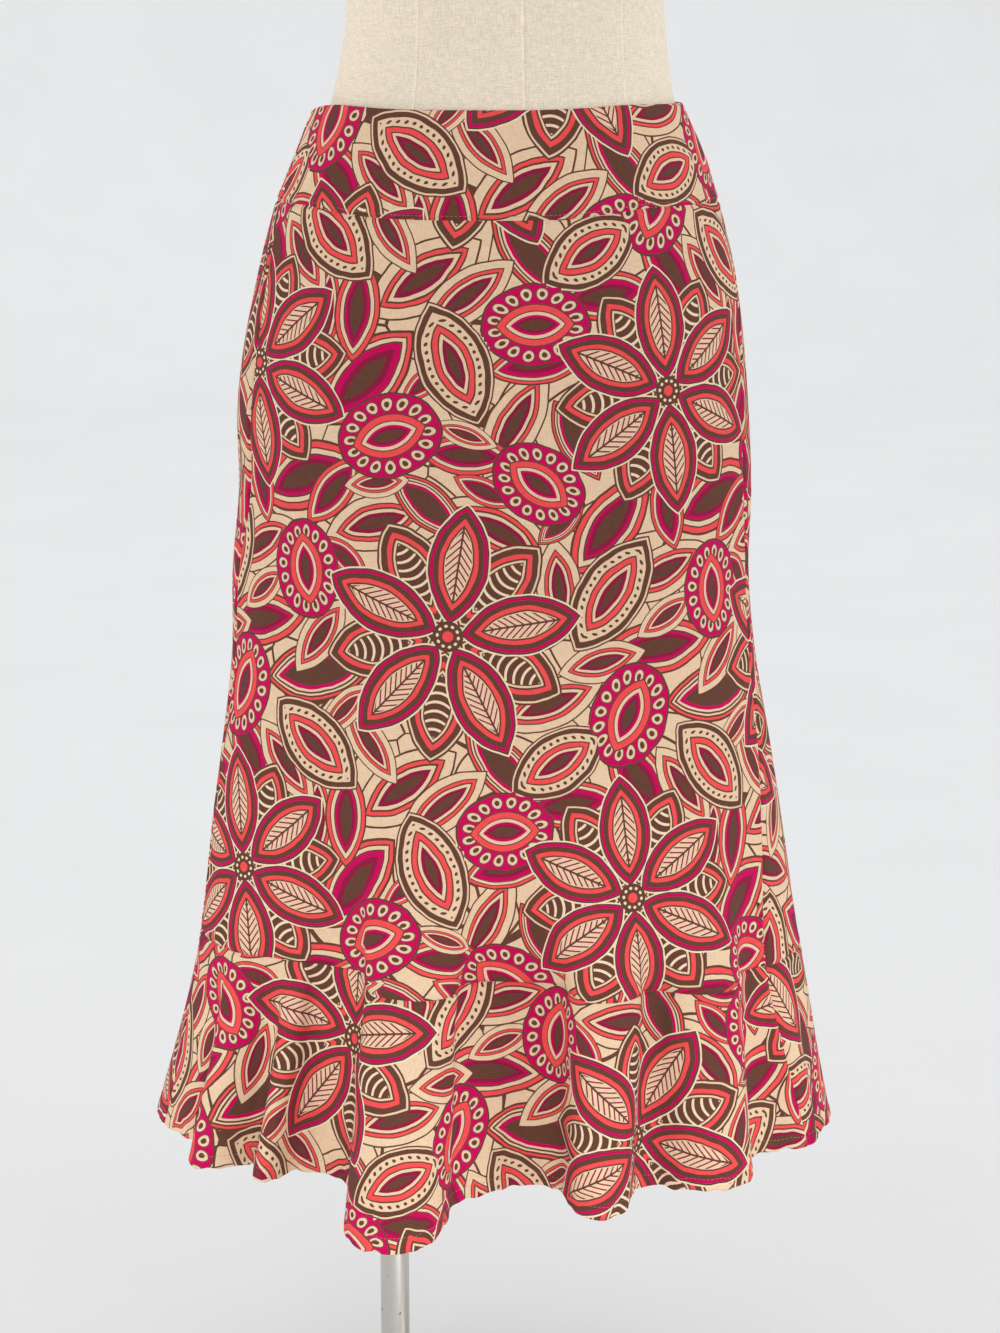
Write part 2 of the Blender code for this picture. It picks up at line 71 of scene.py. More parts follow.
# %% [markdown]
# ## A few plain curves
#
# Cloth has hardly a hard edge: a bell fades a pucker on both sides of a seam, and a soft step
# lets a fold begin gently. Lengths are measured along the cloth, as with a tape.


# %% Bells, steps, angles and lengths
def bell(t):
    """1 at 0, and e to the power of -t^2 on both sides of it."""
    return np.exp(-(t**2))


def smooth_step(t):
    """0 below 0, 1 above 1, and 3t^2 - 2t^3 between."""
    t = np.clip(t, 0.0, 1.0)
    return t * t * (3 - 2 * t)


def wrapped(angle):
    """The same angle, between minus and plus half a turn."""
    return np.mod(angle + np.pi, FULL_TURN) - np.pi


def unit(vectors):
    """The vectors made one long."""
    return vectors / np.linalg.norm(vectors, axis=-1, keepdims=True)


def travelled(points):
    """Running length along each row of points: 0, then the sum of the steps so far."""
    steps = np.linalg.norm(np.diff(points, axis=-2), axis=-1)
    return np.concatenate([0 * steps[..., :1], np.cumsum(steps, axis=-1)], axis=-1)


# %% [markdown]
# ## The skirt's form
#
# A skirt on a form is a tube. At every height its section is an oval, made of four quarter
# ellipses, and lower down folds grow out of it. Each fold is a wave across the cloth: it stands
# out from the oval, its sides can be drawn in until they are upright, and it can lean. The
# levels and folds are the ones that the frame's solids follow, so the fine cloth lies on them.

# %% Levels and folds of the skirt, in millimetres and degrees
WAIST_EDGE = 1000.0
YOKE_SEAM = 935.5
FLOUNCE_SEAM = 422.0
HEM = 285.0
FRONT_MIDDLE = math.radians(-8)
DIP_ENDS = 0.6
DEEP_FOLD = 25.0
WAIST_CORNER = math.radians(-104)
CORNER_WIDTH = math.radians(23)
CORNER_DROP = 10.0
CORNER_STARTS = 945.0

LEVEL_COLUMNS = "name height left right front back left_seam right_seam dip tilt"
Level = namedtuple("Level", LEVEL_COLUMNS, defaults=(0.0, 0.0, 0.0, 0.0))
SKIRT = (
    Level("waist edge", WAIST_EDGE, 122.5, 121, 95, 93, -84, 106, 3),
    Level("yoke middle", 968, 136, 135.5, 105, 103, -81, 102, 5),
    Level("yoke seam", YOKE_SEAM, 149, 146, 113, 111, -77, 95, 7),
    Level("high hip", 890, 162, 157.5, 118, 119, -72, 84, 5),
    Level("hip", 800, 178.5, 169, 118, 127, -69, 74, 2),
    Level("thigh", 740, 178.5, 172.5, 115, 129, -71, 73),
    Level("middle", 684, 184, 171.5, 112, 130, -76, 78),
    Level("above the knee", 627, 186, 176.5, 110, 132, -78, 76, 0, 1),
    Level("knee", 570, 192.5, 187, 110, 136, -79, 72, 0, 3),
    Level("below the knee", 512, 199.5, 198, 111, 141, -79, 66, 0, 6),
    Level("flounce seam", FLOUNCE_SEAM, 211, 213, 117, 149, -77, 60, 0, 9),
    Level("middle of the flounce", 350, 227.5, 226, 118, 158, -76, 61, 4, 5),
    Level("hem", HEM, 246.5, 238, 122, 167, -75, 62, 7, 2),
)

FOLD_COLUMNS = "name angle hem_angle width hem_width reach hem_reach begins square lean droop"
Fold = namedtuple("Fold", FOLD_COLUMNS, defaults=(0.0, 0.0, 0.0))
FOLDS = (
    Fold("left front fullness", -60, -60, 70, 70, 12, 2, 640),
    Fold("left front wave", -53, -49.3, 24, 29, 2, 32, 470, 0.4, -6),
    Fold("left narrow flute", -40, -38.4, 16, 18, 2, 30, 450, 0.5),
    Fold("big front flute", -15.6, -15.2, 57, 61, 37, 82, 650, 0.9, 0, 17),
    Fold("middle swell", -4, -3, 24, 26, 0, 16, FLOUNCE_SEAM, 0.3),
    Fold("right front flute", 17.6, 15.2, 40, 36, 38, 48, 600, 0.7, 0, 7),
    Fold("right broad fold", 36, 33.2, 58, 60, 36, 37, 640, 0.3, 15, 2),
    Fold("right side wave", 64, 62, 30, 30, 2, 9, 470, 0.4),
    Fold("right back flute", 122, 122, 50, 54, 14, 38, 600, 0.7, 3, 6),
    Fold("back right flute", 149, 148, 46, 50, 22, 50, 640, 0.7, -2, 8),
    Fold("back middle wave", 171, 171, 36, 38, 6, 26, 500, 0.5, 3),
    Fold("back left flute", -166, -165, 46, 52, 24, 52, 640, 0.9, 4, 8),
    Fold("left back wave", -143, -143, 38, 42, 6, 28, 520, 0.4, -3),
    Fold("left back flute", -122, -122, 44, 48, 14, 38, 590, 0.7, -2, 6),
)

# %% [markdown]
# ### Fair curves and ovals
#
# Between the table's levels each size follows a fair curve, as a bent lath does between its
# nails. Four such curves give the oval at any height.


# %% Sizes between the levels
def through(levels, column, height):
    """A smooth curve through a table's column: cubic pieces whose slopes agree at each level."""
    rows = sorted(levels, key=lambda level: level.height)
    heights = np.array([row.height for row in rows])
    values = np.array([getattr(row, column) for row in rows], dtype=float)
    slopes = np.gradient(values, heights)
    height = np.clip(height, heights[0], heights[-1])
    low = np.clip(np.searchsorted(heights, height, side="right") - 1, 0, len(rows) - 2)
    span = heights[low + 1] - heights[low]
    t = (height - heights[low]) / span
    return (
        values[low] * (1 + 2 * t) * (1 - t) ** 2
        + slopes[low] * span * t * (1 - t) ** 2
        + values[low + 1] * t**2 * (3 - 2 * t)
        + slopes[low + 1] * span * t**2 * (t - 1)
    )


def oval(levels, angle, height):
    """x is the side's half width times sin(angle), y the depth times -cos(angle)."""
    left, right = through(levels, "left", height), through(levels, "right", height)
    front, back = through(levels, "front", height), through(levels, "back", height)
    across = np.where(np.sin(angle) < 0, left, right)
    along = np.where(np.cos(angle) > 0, front, back)
    return across * np.sin(angle), -along * np.cos(angle), across, along


# %% [markdown]
# ### The skirt as one surface
#
# Each fold pushes the oval's points outwards and sideways, and its crest hangs lower. The whole
# skirt is then one function of an angle and a height, and any point can be asked for.


# %% Folds laid on the oval
def share_down(height):
    """How far down the flounce a height lies: 0 at its seam and above, 1 at the hem."""
    return np.clip((FLOUNCE_SEAM - height) / (FLOUNCE_SEAM - HEM), 0.0, 1.0)


def fold_crest(fold, height):
    """The crest's angle, and the cloth's stride there: millimetres for each radian."""
    crest = np.radians(fold.angle + (fold.hem_angle - fold.angle) * share_down(height))
    _, _, across, along = oval(SKIRT, crest, height)
    return crest, np.hypot(across * np.cos(crest), along * np.sin(crest))


def fold_wave(fold, angle, height):
    """What a fold adds out, sideways and down. Across it t runs from -1 to 1: its reach times
    half of 1 + cos(pi t) outwards, and its spread times sin(2 pi t) sideways."""
    down = share_down(height)
    crest, stride = fold_crest(fold, height)
    rise = max(fold.begins - FLOUNCE_SEAM, 1.0)
    begun = np.clip((fold.begins - height) / rise, 0.0, 1.0) ** 2
    half = (fold.width + (fold.hem_width - fold.width) * down) * (1.5 - 0.5 * begun)
    reach = (fold.reach + (fold.hem_reach - fold.reach) * down) * begun
    t = np.clip(wrapped(angle - crest) * stride / half, -1.0, 1.0)
    wave = 0.5 * (1 + np.cos(np.pi * t))
    spread = begun * fold.square * half / FULL_TURN * np.sin(FULL_TURN * t)
    lean = fold.lean * wave * begun * (0.4 + 0.6 * down)
    return reach * wave, spread + lean, fold.droop * wave * begun * (0.3 + 0.7 * down**2)


def skirt_surface(angle, height):
    """The cloth's middle: the oval plus every fold. The front dips below the side seams, and
    the waist edge drops at the left side seam, along the oval, by a bell of the angle."""
    angle, height = np.broadcast_arrays(angle, height)
    corner = CORNER_DROP * bell(wrapped(angle - WAIST_CORNER) / CORNER_WIDTH)
    top = smooth_step((height - CORNER_STARTS) / (WAIST_EDGE - CORNER_STARTS))
    height = height - corner * top
    x, y, across, along = oval(SKIRT, angle, height)
    normal = np.stack([along * np.sin(angle), -across * np.cos(angle)])
    normal /= np.hypot(*normal)
    front = smooth_step((np.cos(angle - FRONT_MIDDLE) - DIP_ENDS) / (1 - DIP_ENDS))
    dip = through(SKIRT, "dip", height) * front + through(SKIRT, "tilt", height) * np.sin(angle)
    z = height - dip
    for fold in FOLDS:
        out, aside, droop = fold_wave(fold, angle, height)
        x = x + normal[0] * out - normal[1] * aside
        y = y + normal[1] * out + normal[0] * aside
        z = z - droop
    return np.stack([x, y, z], axis=-1)


hem_line = skirt_surface(np.linspace(-np.pi, np.pi, 2001), HEM)
print(f"the hem is {travelled(hem_line)[-1]:.0f} mm round, with {len(FOLDS)} folds in the skirt")

# %% [markdown]
# ### Lines down a panel
#
# Columns of the fine grid run down along the folds, or a fold's steep side would get too few
# points. Guide lines follow each deep fold, and the columns keep their places between them.


# %% Guides for a panel's columns
def panel_guides(side, height):
    """Angles of lines down a panel: its -X seam, its deep folds' two sides, its +X seam."""
    left = np.radians(through(SKIRT, "left_seam", height))
    right = np.radians(through(SKIRT, "right_seam", height))
    turn = 1.0 if side == "front" else -1.0
    end = right if side == "front" else right - FULL_TURN
    level = np.minimum(height, FLOUNCE_SEAM)
    sides = []
    for fold in FOLDS:
        crest, stride = fold_crest(fold, level)
        quarter = 0.5 * (fold.width + (fold.hem_width - fold.width) * share_down(level)) / stride
        in_front = math.cos(math.radians(fold.hem_angle)) > 0
        if fold.hem_reach > DEEP_FOLD and in_front == (side == "front"):
            crest = crest if in_front else -np.mod(-crest, FULL_TURN)
            sides += [crest - turn * quarter, crest + turn * quarter]
    sides.sort(key=lambda line: turn * float(np.mean(line)))
    return [left, *sides, end]


def panel_angles(side, height, share):
    """Angles across a panel for shares 0 to 1, even at the hem and along its guides above it."""
    guides = panel_guides(side, height)
    hem_guides = panel_guides(side, np.array(HEM))
    place = hem_guides[0] + (hem_guides[-1] - hem_guides[0]) * share
    angle = guides[0]
    for low, high, hem_low, hem_high in zip(guides, guides[1:], hem_guides, hem_guides[1:]):
        angle = angle + (high - low) * np.clip((place - hem_low) / (hem_high - hem_low), 0.0, 1.0)
    return angle


# %% [markdown]
# ## What wear and sewing do to the cloth
#
# On top of its large folds, cloth on a form shows soft drags: shallow troughs and ridges of a
# millimetre or two that run towards whatever pulls on them. They are listed here, from one
# point to another on a panel, in millimetres from the panel's middle and in height. Seams and
# the stitched hem pucker the cloth next to them in short uneven ripples.

# %% Creases and puckers
# Each row: x and height of its start and of its end, its width and its depth.
CREASES = {
    "front": (
        (-186, 862, -96, 838, 9, -0.9),
        (-190, 806, -120, 797, 11, 0.8),
        (-176, 700, -112, 560, 15, 1.3),
        (-150, 640, -122, 470, 12, -1.4),
        (-84, 742, -62, 560, 17, 1.2),
        (-36, 700, -28, 520, 14, -1.3),
        (12, 720, 22, 540, 16, -0.9),
        (58, 742, 50, 560, 18, 1.1),
        (100, 690, 96, 520, 13, -1.5),
        (146, 730, 134, 560, 16, 1.2),
        (186, 858, 118, 836, 9, -0.8),
        (184, 786, 128, 770, 12, 0.7),
        (176, 960, 120, 952, 6, 0.5),
        (-168, 968, -118, 956, 6, 0.5),
        (-96, 410, -110, 330, 9, 1.4),
        (6, 404, -12, 320, 10, -1.4),
        (40, 410, 36, 300, 8, 1),
        (196, 404, 206, 310, 11, 1.5),
    ),
    "back": (
        (-196, 858, -110, 830, 11, -1),
        (200, 846, 120, 822, 11, -1),
        (-120, 768, 118, 760, 16, -0.9),
        (-190, 720, -164, 540, 17, 1.3),
        (-92, 730, -104, 530, 17, 1.3),
        (-40, 700, -44, 500, 14, -1.3),
        (24, 712, 30, 520, 17, 1.1),
        (96, 720, 112, 520, 15, -1.3),
        (180, 730, 190, 540, 18, 1.2),
        (-150, 400, -166, 310, 10, 1.4),
        (60, 406, 52, 310, 10, -1.3),
        (230, 404, 244, 320, 11, 1.4),
    ),
}
PUCKER_FADE = 13.0
SIDE_FADE = 16.0
HEM_STITCHES = 8.0
HEM_WAVER = 1.3


def ripples(along, wave, phase):
    """Uneven short waves: three sines whose lengths don't divide each other."""
    parts = ((1.0, 1.0, 1.0), (0.7, 1.47, 2.1), (0.5, 0.63, 0.7))
    waves = [
        share * np.sin(FULL_TURN * along / (wave * longer) + later * phase)
        for share, longer, later in parts
    ]
    return sum(waves) / sum(share for share, _, _ in parts)


def drag(x, height, x0, z0, x1, z1, width, depth):
    """One crease: a bell across its slightly bent line, fading in before its start and out
    past its end."""
    run = np.array([x1 - x0, z1 - z0])
    length = np.hypot(*run)
    t = ((x - x0) * run[0] + (height - z0) * run[1]) / (run @ run)
    bend = 0.05 * length * np.sin(np.pi * np.clip(t, 0, 1))
    off = ((x - x0) * run[1] - (height - z0) * run[0]) / length - bend
    ends = smooth_step((t + 0.25) / 0.45) * smooth_step((1.25 - t) / 0.45)
    return depth * (0.8 + 0.2 * np.sin(9 * t + x0)) * ends * bell(off / width)


def relief(side, x, to_side, height):
    """How far the cloth stands off its smooth form: listed creases, a gentle unevenness,
    and ripples that fade with the distance from the flounce seam, the yoke seam and the hem.
    At a side seam all that fades out, and the seam's own ripples are the same on both sides."""
    lift = 0.35 * np.sin(x / 31 + height / 67) + 0.3 * np.sin(x / 53 - height / 41 + 1.0)
    lift = lift + sum(drag(x, height, *crease) for crease in CREASES[side])
    near_flounce = np.exp(-np.abs(height - FLOUNCE_SEAM) / PUCKER_FADE)
    near_yoke = np.exp(-np.abs(height - YOKE_SEAM) / (0.6 * PUCKER_FADE))
    near_hem = bell((height - HEM) / (1.3 * HEM_STITCHES))
    patchy = 0.6 + 0.4 * np.sin(x / 37 + 2.0)
    lift = lift + 0.55 * patchy * near_flounce * ripples(x, 13.0, 1.0)
    lift = lift + 0.18 * near_yoke * ripples(x, 8.0, 2.0)
    lift = lift + 0.75 * patchy * near_hem * ripples(x, 17.0, 3.0)
    seam = np.exp(-to_side / (0.6 * PUCKER_FADE)) * 0.3 * ripples(height, 14.0, 4.0)
    return lift * smooth_step(to_side / SIDE_FADE) + seam


print(f"{sum(map(len, CREASES.values()))} creases placed by hand")

# %% [markdown]
# ## Unrolling a panel
#
# A print is straight on the bolt. To know where it falls on the hanging cloth, each panel is
# unrolled flat, as a pattern cutter's program does it. A net of points is laid out row by row,
# each row below the last at the angles that the cloth has there. Every link of the net then
# pulls or pushes until it is as long as on the cloth. Cloth that bends but hardly stretches
# settles so with little left over.

# %% Lengths in a net, and how it settles
NET_CELL = 9.0
NET_PARTS = 2
ALL, LOW, HIGH = slice(None), slice(None, -1), slice(1, None)


def net_lengths(points):
    """Lengths across, down and along both diagonals of a net's cells, and how far each link
    down slips sideways. The diagonals follow by the law of cosines from the cells' angles."""
    parts = NET_PARTS
    across, down = np.diff(points, axis=1), np.diff(points, axis=0)
    rows, columns = len(down) // parts, across.shape[1] // parts
    wide = np.linalg.norm(across, axis=2)[::parts].reshape(rows + 1, columns, parts).sum(2)
    tall = np.linalg.norm(down, axis=2)[:, ::parts].reshape(rows, parts, columns + 1).sum(1)
    cosine = np.sum(unit(across[:-1]) * unit(down[:, :-1]), axis=2)
    cosine = cosine.reshape(rows, parts, columns, parts).mean(axis=(1, 3))
    cell_wide = 0.5 * (wide[:-1] + wide[1:])
    cell_tall = 0.5 * (tall[:, :-1] + tall[:, 1:])
    even, skew = cell_wide**2 + cell_tall**2, 2 * cell_wide * cell_tall * cosine
    padded = np.pad(cosine, ((0, 0), (1, 1)), mode="edge")
    slip = tall * 0.5 * (padded[:, :-1] + padded[:, 1:])
    return wide, tall, np.sqrt(even + skew), np.sqrt(even - skew), slip


def settle(flat, lengths, steps, held_rows=0):
    """Each step moves every point by a share of what its links are too long or too short, and
    keeps part of its last speed. Rows that are held stay where they are."""
    wide, tall, falling, rising = lengths
    links = (
        ((ALL, LOW), (ALL, HIGH), wide),
        ((LOW, ALL), (HIGH, ALL), tall),
        ((LOW, LOW), (HIGH, HIGH), falling),
        ((HIGH, LOW), (LOW, HIGH), rising),
    )
    speed = np.zeros_like(flat)
    for _ in range(steps):
        push = np.zeros_like(flat)
        for start, end, length in links:
            gap = flat[end] - flat[start]
            pull = gap * (0.5 - 0.5 * length / np.linalg.norm(gap, axis=-1))[..., None]
            push[start] += pull
            push[end] -= pull
        push[:held_rows] = 0
        speed = 0.92 * speed + 0.3 * push
        flat = flat + speed
    return flat


# %% [markdown]
# ### Row after row
#
# The top row is bent first, as cloth that widens downwards lies in an arc when it is flat. Each
# later row is hung on the one above it.


# %% Unroll a net of points
def unroll(points):
    """Flat places of a net. The first row turns by what the next one gains on it for each
    millimetre of fall, and each further row is set off from the last and settled on it."""
    wide, tall, falling, rising, slip = net_lengths(points)
    fall = np.sqrt(tall**2 - slip**2)
    middle = wide.shape[1] // 2
    gain = wide[1] - wide[0] - np.diff(slip[0])
    heading = np.cumsum(gain / (0.5 * (fall[0, 1:] + fall[0, :-1])))
    heading -= heading[middle]
    step = wide[0] * np.stack([np.cos(heading), np.sin(heading)])
    row = np.concatenate([np.zeros((1, 2)), np.cumsum(step.T, axis=0)])
    rows = [row - row[middle]]
    for i in range(len(tall)):
        run = unit(np.gradient(rows[-1], axis=0))
        below = np.stack([run[:, 1], -run[:, 0]], axis=-1)
        new = rows[-1] + run * slip[i][:, None] + below * fall[i][:, None]
        lengths = (wide[i : i + 2], tall[i : i + 1], falling[i : i + 1], rising[i : i + 1])
        rows.append(settle(np.stack([rows[-1], new]), lengths, 50, held_rows=1)[1])
    flat = settle(np.array(rows), (wide, tall, falling, rising), 600)
    stretch = np.linalg.norm(np.diff(flat, axis=1), axis=2) / wide - 1
    away = flat[0, middle] - flat[-1, middle]
    lean = math.atan2(away[0], away[1])
    x, y = np.moveaxis(flat - flat[0, middle], -1, 0)
    turned = (x * math.cos(lean) - y * math.sin(lean), x * math.sin(lean) + y * math.cos(lean))
    return np.stack(turned, axis=-1), stretch


# %% [markdown]
# ## The print's repeat
#
# The cloth carries an all-over print of flowers, seed heads, pods and leaves. It is drawn here
# as a textile designer would plan a tossed repeat: the few large motifs are given on a repeat
# of 29 by 34 cm, and the leaves are then tried one after another wherever they cover the most
# bare ground. All its motifs are plain shapes: a leaf is the lens between two arcs.

# %% Motifs of one repeat, in centimetres
REPEAT = np.array([29.0, 34.0])
Motif = namedtuple("Motif", "x y turn length width kind")
FLOWERS = (
    Motif(7.8, 9.4, 12, 8.9, 8.9, 5),
    Motif(21.6, 26.4, -20, 8.1, 8.1, 6),
)
SEED_HEADS = (
    Motif(20.6, 4.6, 70, 3.7, 2.8, 0),
    Motif(3.4, 22.6, 20, 3.6, 2.8, 0),
    Motif(13.2, 20, -35, 3.3, 2.5, 0),
    Motif(26.6, 13.2, 100, 3.4, 2.6, 0),
    Motif(12.4, 30.4, 5, 3.5, 2.7, 0),
)
PODS = (
    Motif(18.6, 12.8, 60, 4.6, 2.5, 1),
    Motif(7.4, 27.6, 115, 4.3, 2.4, 1),
    Motif(27.4, 1.4, 140, 4.3, 2.4, 1),
    Motif(15.8, 1.2, 35, 3.9, 2.2, 1),
)
LeafSize = namedtuple("LeafSize", "name count shortest longest slimmest roundest")
LEAF_SIZES = (
    LeafSize("large leaves", 14, 3.6, 4.6, 0.40, 0.50),
    LeafSize("middle leaves", 13, 3.1, 4.0, 0.38, 0.48),
    LeafSize("small leaves", 9, 2.0, 2.8, 0.38, 0.48),
)
LEAF_COLOURWAYS = (0, 2, 1, 2, 3, 2, 0, 2)
LEAF_GAP = 0.35
TRIES = 120
LEAF_SEED = 7


# %% Places on a motif
def on_motif(x, y, motif):
    """Position in the motif's own directions, measured to its nearest copy in the repeat."""
    dx = np.mod(x - motif.x + REPEAT[0] / 2, REPEAT[0]) - REPEAT[0] / 2
    dy = np.mod(y - motif.y + REPEAT[1] / 2, REPEAT[1]) - REPEAT[1] / 2
    turn = math.radians(motif.turn)
    return (
        dx * math.cos(turn) + dy * math.sin(turn),
        dy * math.cos(turn) - dx * math.sin(turn),
    )


def lens_arc(length, width):
    """Radius of a lens's arcs, and how far their centres lie from its long axis."""
    radius = (length**2 + width**2) / (2 * width)
    return radius, radius - width


def lens_depth(x, y, length, width):
    """How deep a point lies in a lens: the arc's radius less the distance to its centre."""
    radius, offset = lens_arc(length, width)
    return radius - np.hypot(x, np.abs(y) + offset)


# %% [markdown]
# ### Tossing the leaves
#
# The repeat is divided into small squares, covered or bare. For each leaf many places are
# tried, and the one that covers most bare squares stays.


# %% Leaves where the ground is bare
def best_leaf(size, chance, own, covered, x, y):
    """The try with the highest score: bare squares it covers, less 1.2 times the covered ones.
    Tries that come too near a leaf of their own size are left out."""
    best = None
    for _ in range(TRIES):
        length = chance.uniform(size.shortest, size.longest)
        width = length * chance.uniform(size.slimmest, size.roundest)
        place = chance.uniform(0.0, 1.0, 2) * REPEAT
        leaf = Motif(*place, chance.uniform(0, 180), length, width, 0)
        across, along = on_motif(x, y, leaf)
        near = lens_depth(across, along, length + LEAF_GAP, width + LEAF_GAP) > 0
        if (near & own).any():
            continue
        inside = lens_depth(across, along, length, width) > 0
        score = (inside & ~covered).sum() - 1.2 * (inside & covered).sum()
        if best is None or score > best[0]:
            best = (score, leaf, inside)
    return best


def toss_leaves(cell=0.35):
    """One list of leaves for each size, tossed on the squares that the large motifs leave."""
    chance = np.random.default_rng(LEAF_SEED)
    x, y = np.meshgrid(*((np.arange(round(side / cell)) + 0.5) * cell for side in REPEAT))
    covered = np.zeros(x.shape, dtype=bool)
    for motif in FLOWERS:
        covered |= np.hypot(*on_motif(x, y, motif)) < 0.8 * motif.length
    for motif in SEED_HEADS + PODS:
        across, along = on_motif(x, y, motif)
        covered |= np.hypot(across / motif.length, along / motif.width) < 0.95
    sizes = []
    for size in LEAF_SIZES:
        own = np.zeros(x.shape, dtype=bool)
        leaves = []
        for _ in range(size.count):
            best = best_leaf(size, chance, own, covered, x, y)
            if best is not None:
                colourway = LEAF_COLOURWAYS[len(leaves) % len(LEAF_COLOURWAYS)]
                leaves.append(best[1]._replace(kind=colourway))
                own |= best[2]
                covered |= best[2]
        sizes.append(tuple(leaves))
        print(f"{size.name}: {len(leaves)}")
    print(f"ground left bare: {100 * (1 - covered.mean()):.0f}%")
    return sizes


LAYERS = (
    *((f"leaves_{i}", leaves) for i, leaves in enumerate(toss_leaves())),
    ("heads", SEED_HEADS + PODS),
    ("flowers", FLOWERS),
)

# %% [markdown]
# ## Making the meshes
#
# Every shape here is a grid of points worked out by numpy. These helpers list a grid's quads,
# write points and faces straight into a mesh, and close a tube's ends.


# %% Quads of sheets and tubes
def grid_quads(rows, columns, first=0):
    """Quads of a grid of points whose rows run down and columns run right, seen from outside."""
    index = first + np.arange(rows * columns).reshape(rows, columns)
    corners = [index[:-1, :-1], index[1:, :-1], index[1:, 1:], index[:-1, 1:]]
    return np.stack(corners, axis=-1).reshape(-1, 4)


def rim_quads(rows, columns):
    """Quads that join the outer grid's edge to the inner grid's, which comes after it."""
    index = np.arange(rows * columns).reshape(rows, columns)
    loop = np.concatenate([index[:, 0], index[-1, 1:], index[-2::-1, -1], index[0, -2:0:-1]])
    ahead = np.roll(loop, -1)
    inner = rows * columns
    return np.stack([loop, loop + inner, ahead + inner, ahead], axis=-1)


def tube_quads(rows, columns, joined=False):
    """Quads of a tube of rings, rows running up. Joined means that the last ring meets the
    first, as in a collar."""
    index = np.arange(rows * columns).reshape(rows, columns)
    if joined:
        index = np.concatenate([index, index[:1]])
    ahead = np.roll(index, -1, axis=1)
    return np.stack([index[:-1], ahead[:-1], ahead[1:], index[1:]], axis=-1).reshape(-1, 4)


# %% Grids into meshes
def put_mesh(name, points, faces, finishes, face_finish=None, sharp=None):
    """A smooth-shaded object in metres, with its place in its mesh."""
    mesh = bpy.data.meshes.new(name)
    mesh.from_pydata(points.reshape(-1, 3), [], faces)
    for finish in finishes:
        mesh.materials.append(finish)
    if face_finish is not None:
        mesh.polygons.foreach_set("material_index", face_finish)
    mesh.validate()
    mesh.shade_smooth()
    if sharp is not None:
        mesh.set_sharp_from_angle(angle=math.radians(sharp))
    made = bpy.data.objects.new(name, mesh)
    bpy.context.scene.collection.objects.link(made)
    return made


def weld(piece):
    """Merges the points that fell together at a pole, so that the pole is closed."""
    shape = bmesh.new()
    shape.from_mesh(piece.data)
    bmesh.ops.remove_doubles(shape, verts=shape.verts, dist=1e-6)
    shape.to_mesh(piece.data)
    shape.free()


def capped_tube(name, rings, finish, sharp, ridge_highlight=None):
    """A tube of rings, in millimetres, closed by shrinking its end rings to their middles."""
    shrink = np.array([0.0, 0.5])[:, None, None]
    ends = [end.mean(axis=0) + (end - end.mean(axis=0)) * shrink for end in rings[[0, -1]]]
    rings = np.concatenate([ends[0], rings, ends[1][::-1]])
    made = put_mesh(name, rings * MM, tube_quads(*rings.shape[:2]), (finish,))
    # The optional values are a painted highlight: how much paler the cover is coloured at each point
    # on a seam ridge, kept as a point attribute.
    if ridge_highlight is not None:
        values = np.pad(ridge_highlight, ((2, 2), (0, 0)), mode="edge").astype(np.float32)
        made.data.attributes.new("ridge_highlight", "FLOAT", "POINT").data.foreach_set("value", values.ravel())
    weld(made)
    made.data.set_sharp_from_angle(angle=math.radians(sharp))
    return made


def dress(piece, node_name):
    """Rides the piece on the fixed body, in the place of a CAD node, which it hides."""
    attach(piece, "root")
    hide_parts(node_name)


# %% [markdown]
# ## Materials from wires
#
# A pattern that must stay sharp at any distance is worked out by the material for each point,
# not painted on an image. Its formula needs a lot of Math nodes. A small class lets a formula be
# written as arithmetic: each plus or times on a wire adds the node that works it out.


# %% Wires that do arithmetic
class Wire:
    """A number that flows through a material's nodes."""

    def __init__(self, tree, socket):
        self.tree = tree
        self.socket = socket

    def calc(self, operation, *others):
        """What a Math node makes of this wire and the others."""
        made = self.tree.nodes.new("ShaderNodeMath")
        made.operation = operation
        for plug, value in zip(made.inputs, (self, *others)):
            feed(self.tree, plug, value)
        return Wire(self.tree, made.outputs[0])

    __add__ = partialmethod(calc, "ADD")
    __sub__ = partialmethod(calc, "SUBTRACT")
    __mul__ = partialmethod(calc, "MULTIPLY")
    __truediv__ = partialmethod(calc, "DIVIDE")
    __gt__ = partialmethod(calc, "GREATER_THAN")
    __lt__ = partialmethod(calc, "LESS_THAN")
    size = partialmethod(calc, "ABSOLUTE")
    part = partialmethod(calc, "FRACT")
    least = partialmethod(calc, "MINIMUM")
    most = partialmethod(calc, "MAXIMUM")


def feed(tree, plug, value):
    """Plugs in a wire or socket, or sets a plain number or colour."""
    if isinstance(value, Wire):
        tree.links.new(value.socket, plug)
    elif isinstance(value, bpy.types.NodeSocket):
        tree.links.new(value, plug)
    else:
        plug.default_value = value


def distance(a, b):
    """Length of the two legs a and b together."""
    return (a * a + b * b).calc("SQRT")


# %% [markdown]
# ### Nodes by name
#
# Every material here is made of the same few nodes: noises, bands of colour, a mix, a tint and
# a bump. Each gets a function.


# %% Nodes, noises and colours
def plug_in(tree, made, **plugs):
    """Feeds a node's plugs by name, with an underscore for each space."""
    for name, value in plugs.items():
        feed(tree, made.inputs[name.replace("_", " ")], value)


def node(tree, kind, settings=None, **plugs):
    """A node with its settings and what goes into its plugs."""
    made = tree.nodes.new(kind)
    for name, value in (settings or {}).items():
        setattr(made, name, value)
    plug_in(tree, made, **plugs)
    return made


def new_material(name, **finish):
    """A material with its node tree and shader, whose own numbers are set by name."""
    made = bpy.data.materials.new(name)
    made.use_nodes = True
    shader = made.node_tree.nodes["Principled BSDF"]
    plug_in(made.node_tree, shader, **finish)
    return made, made.node_tree, shader


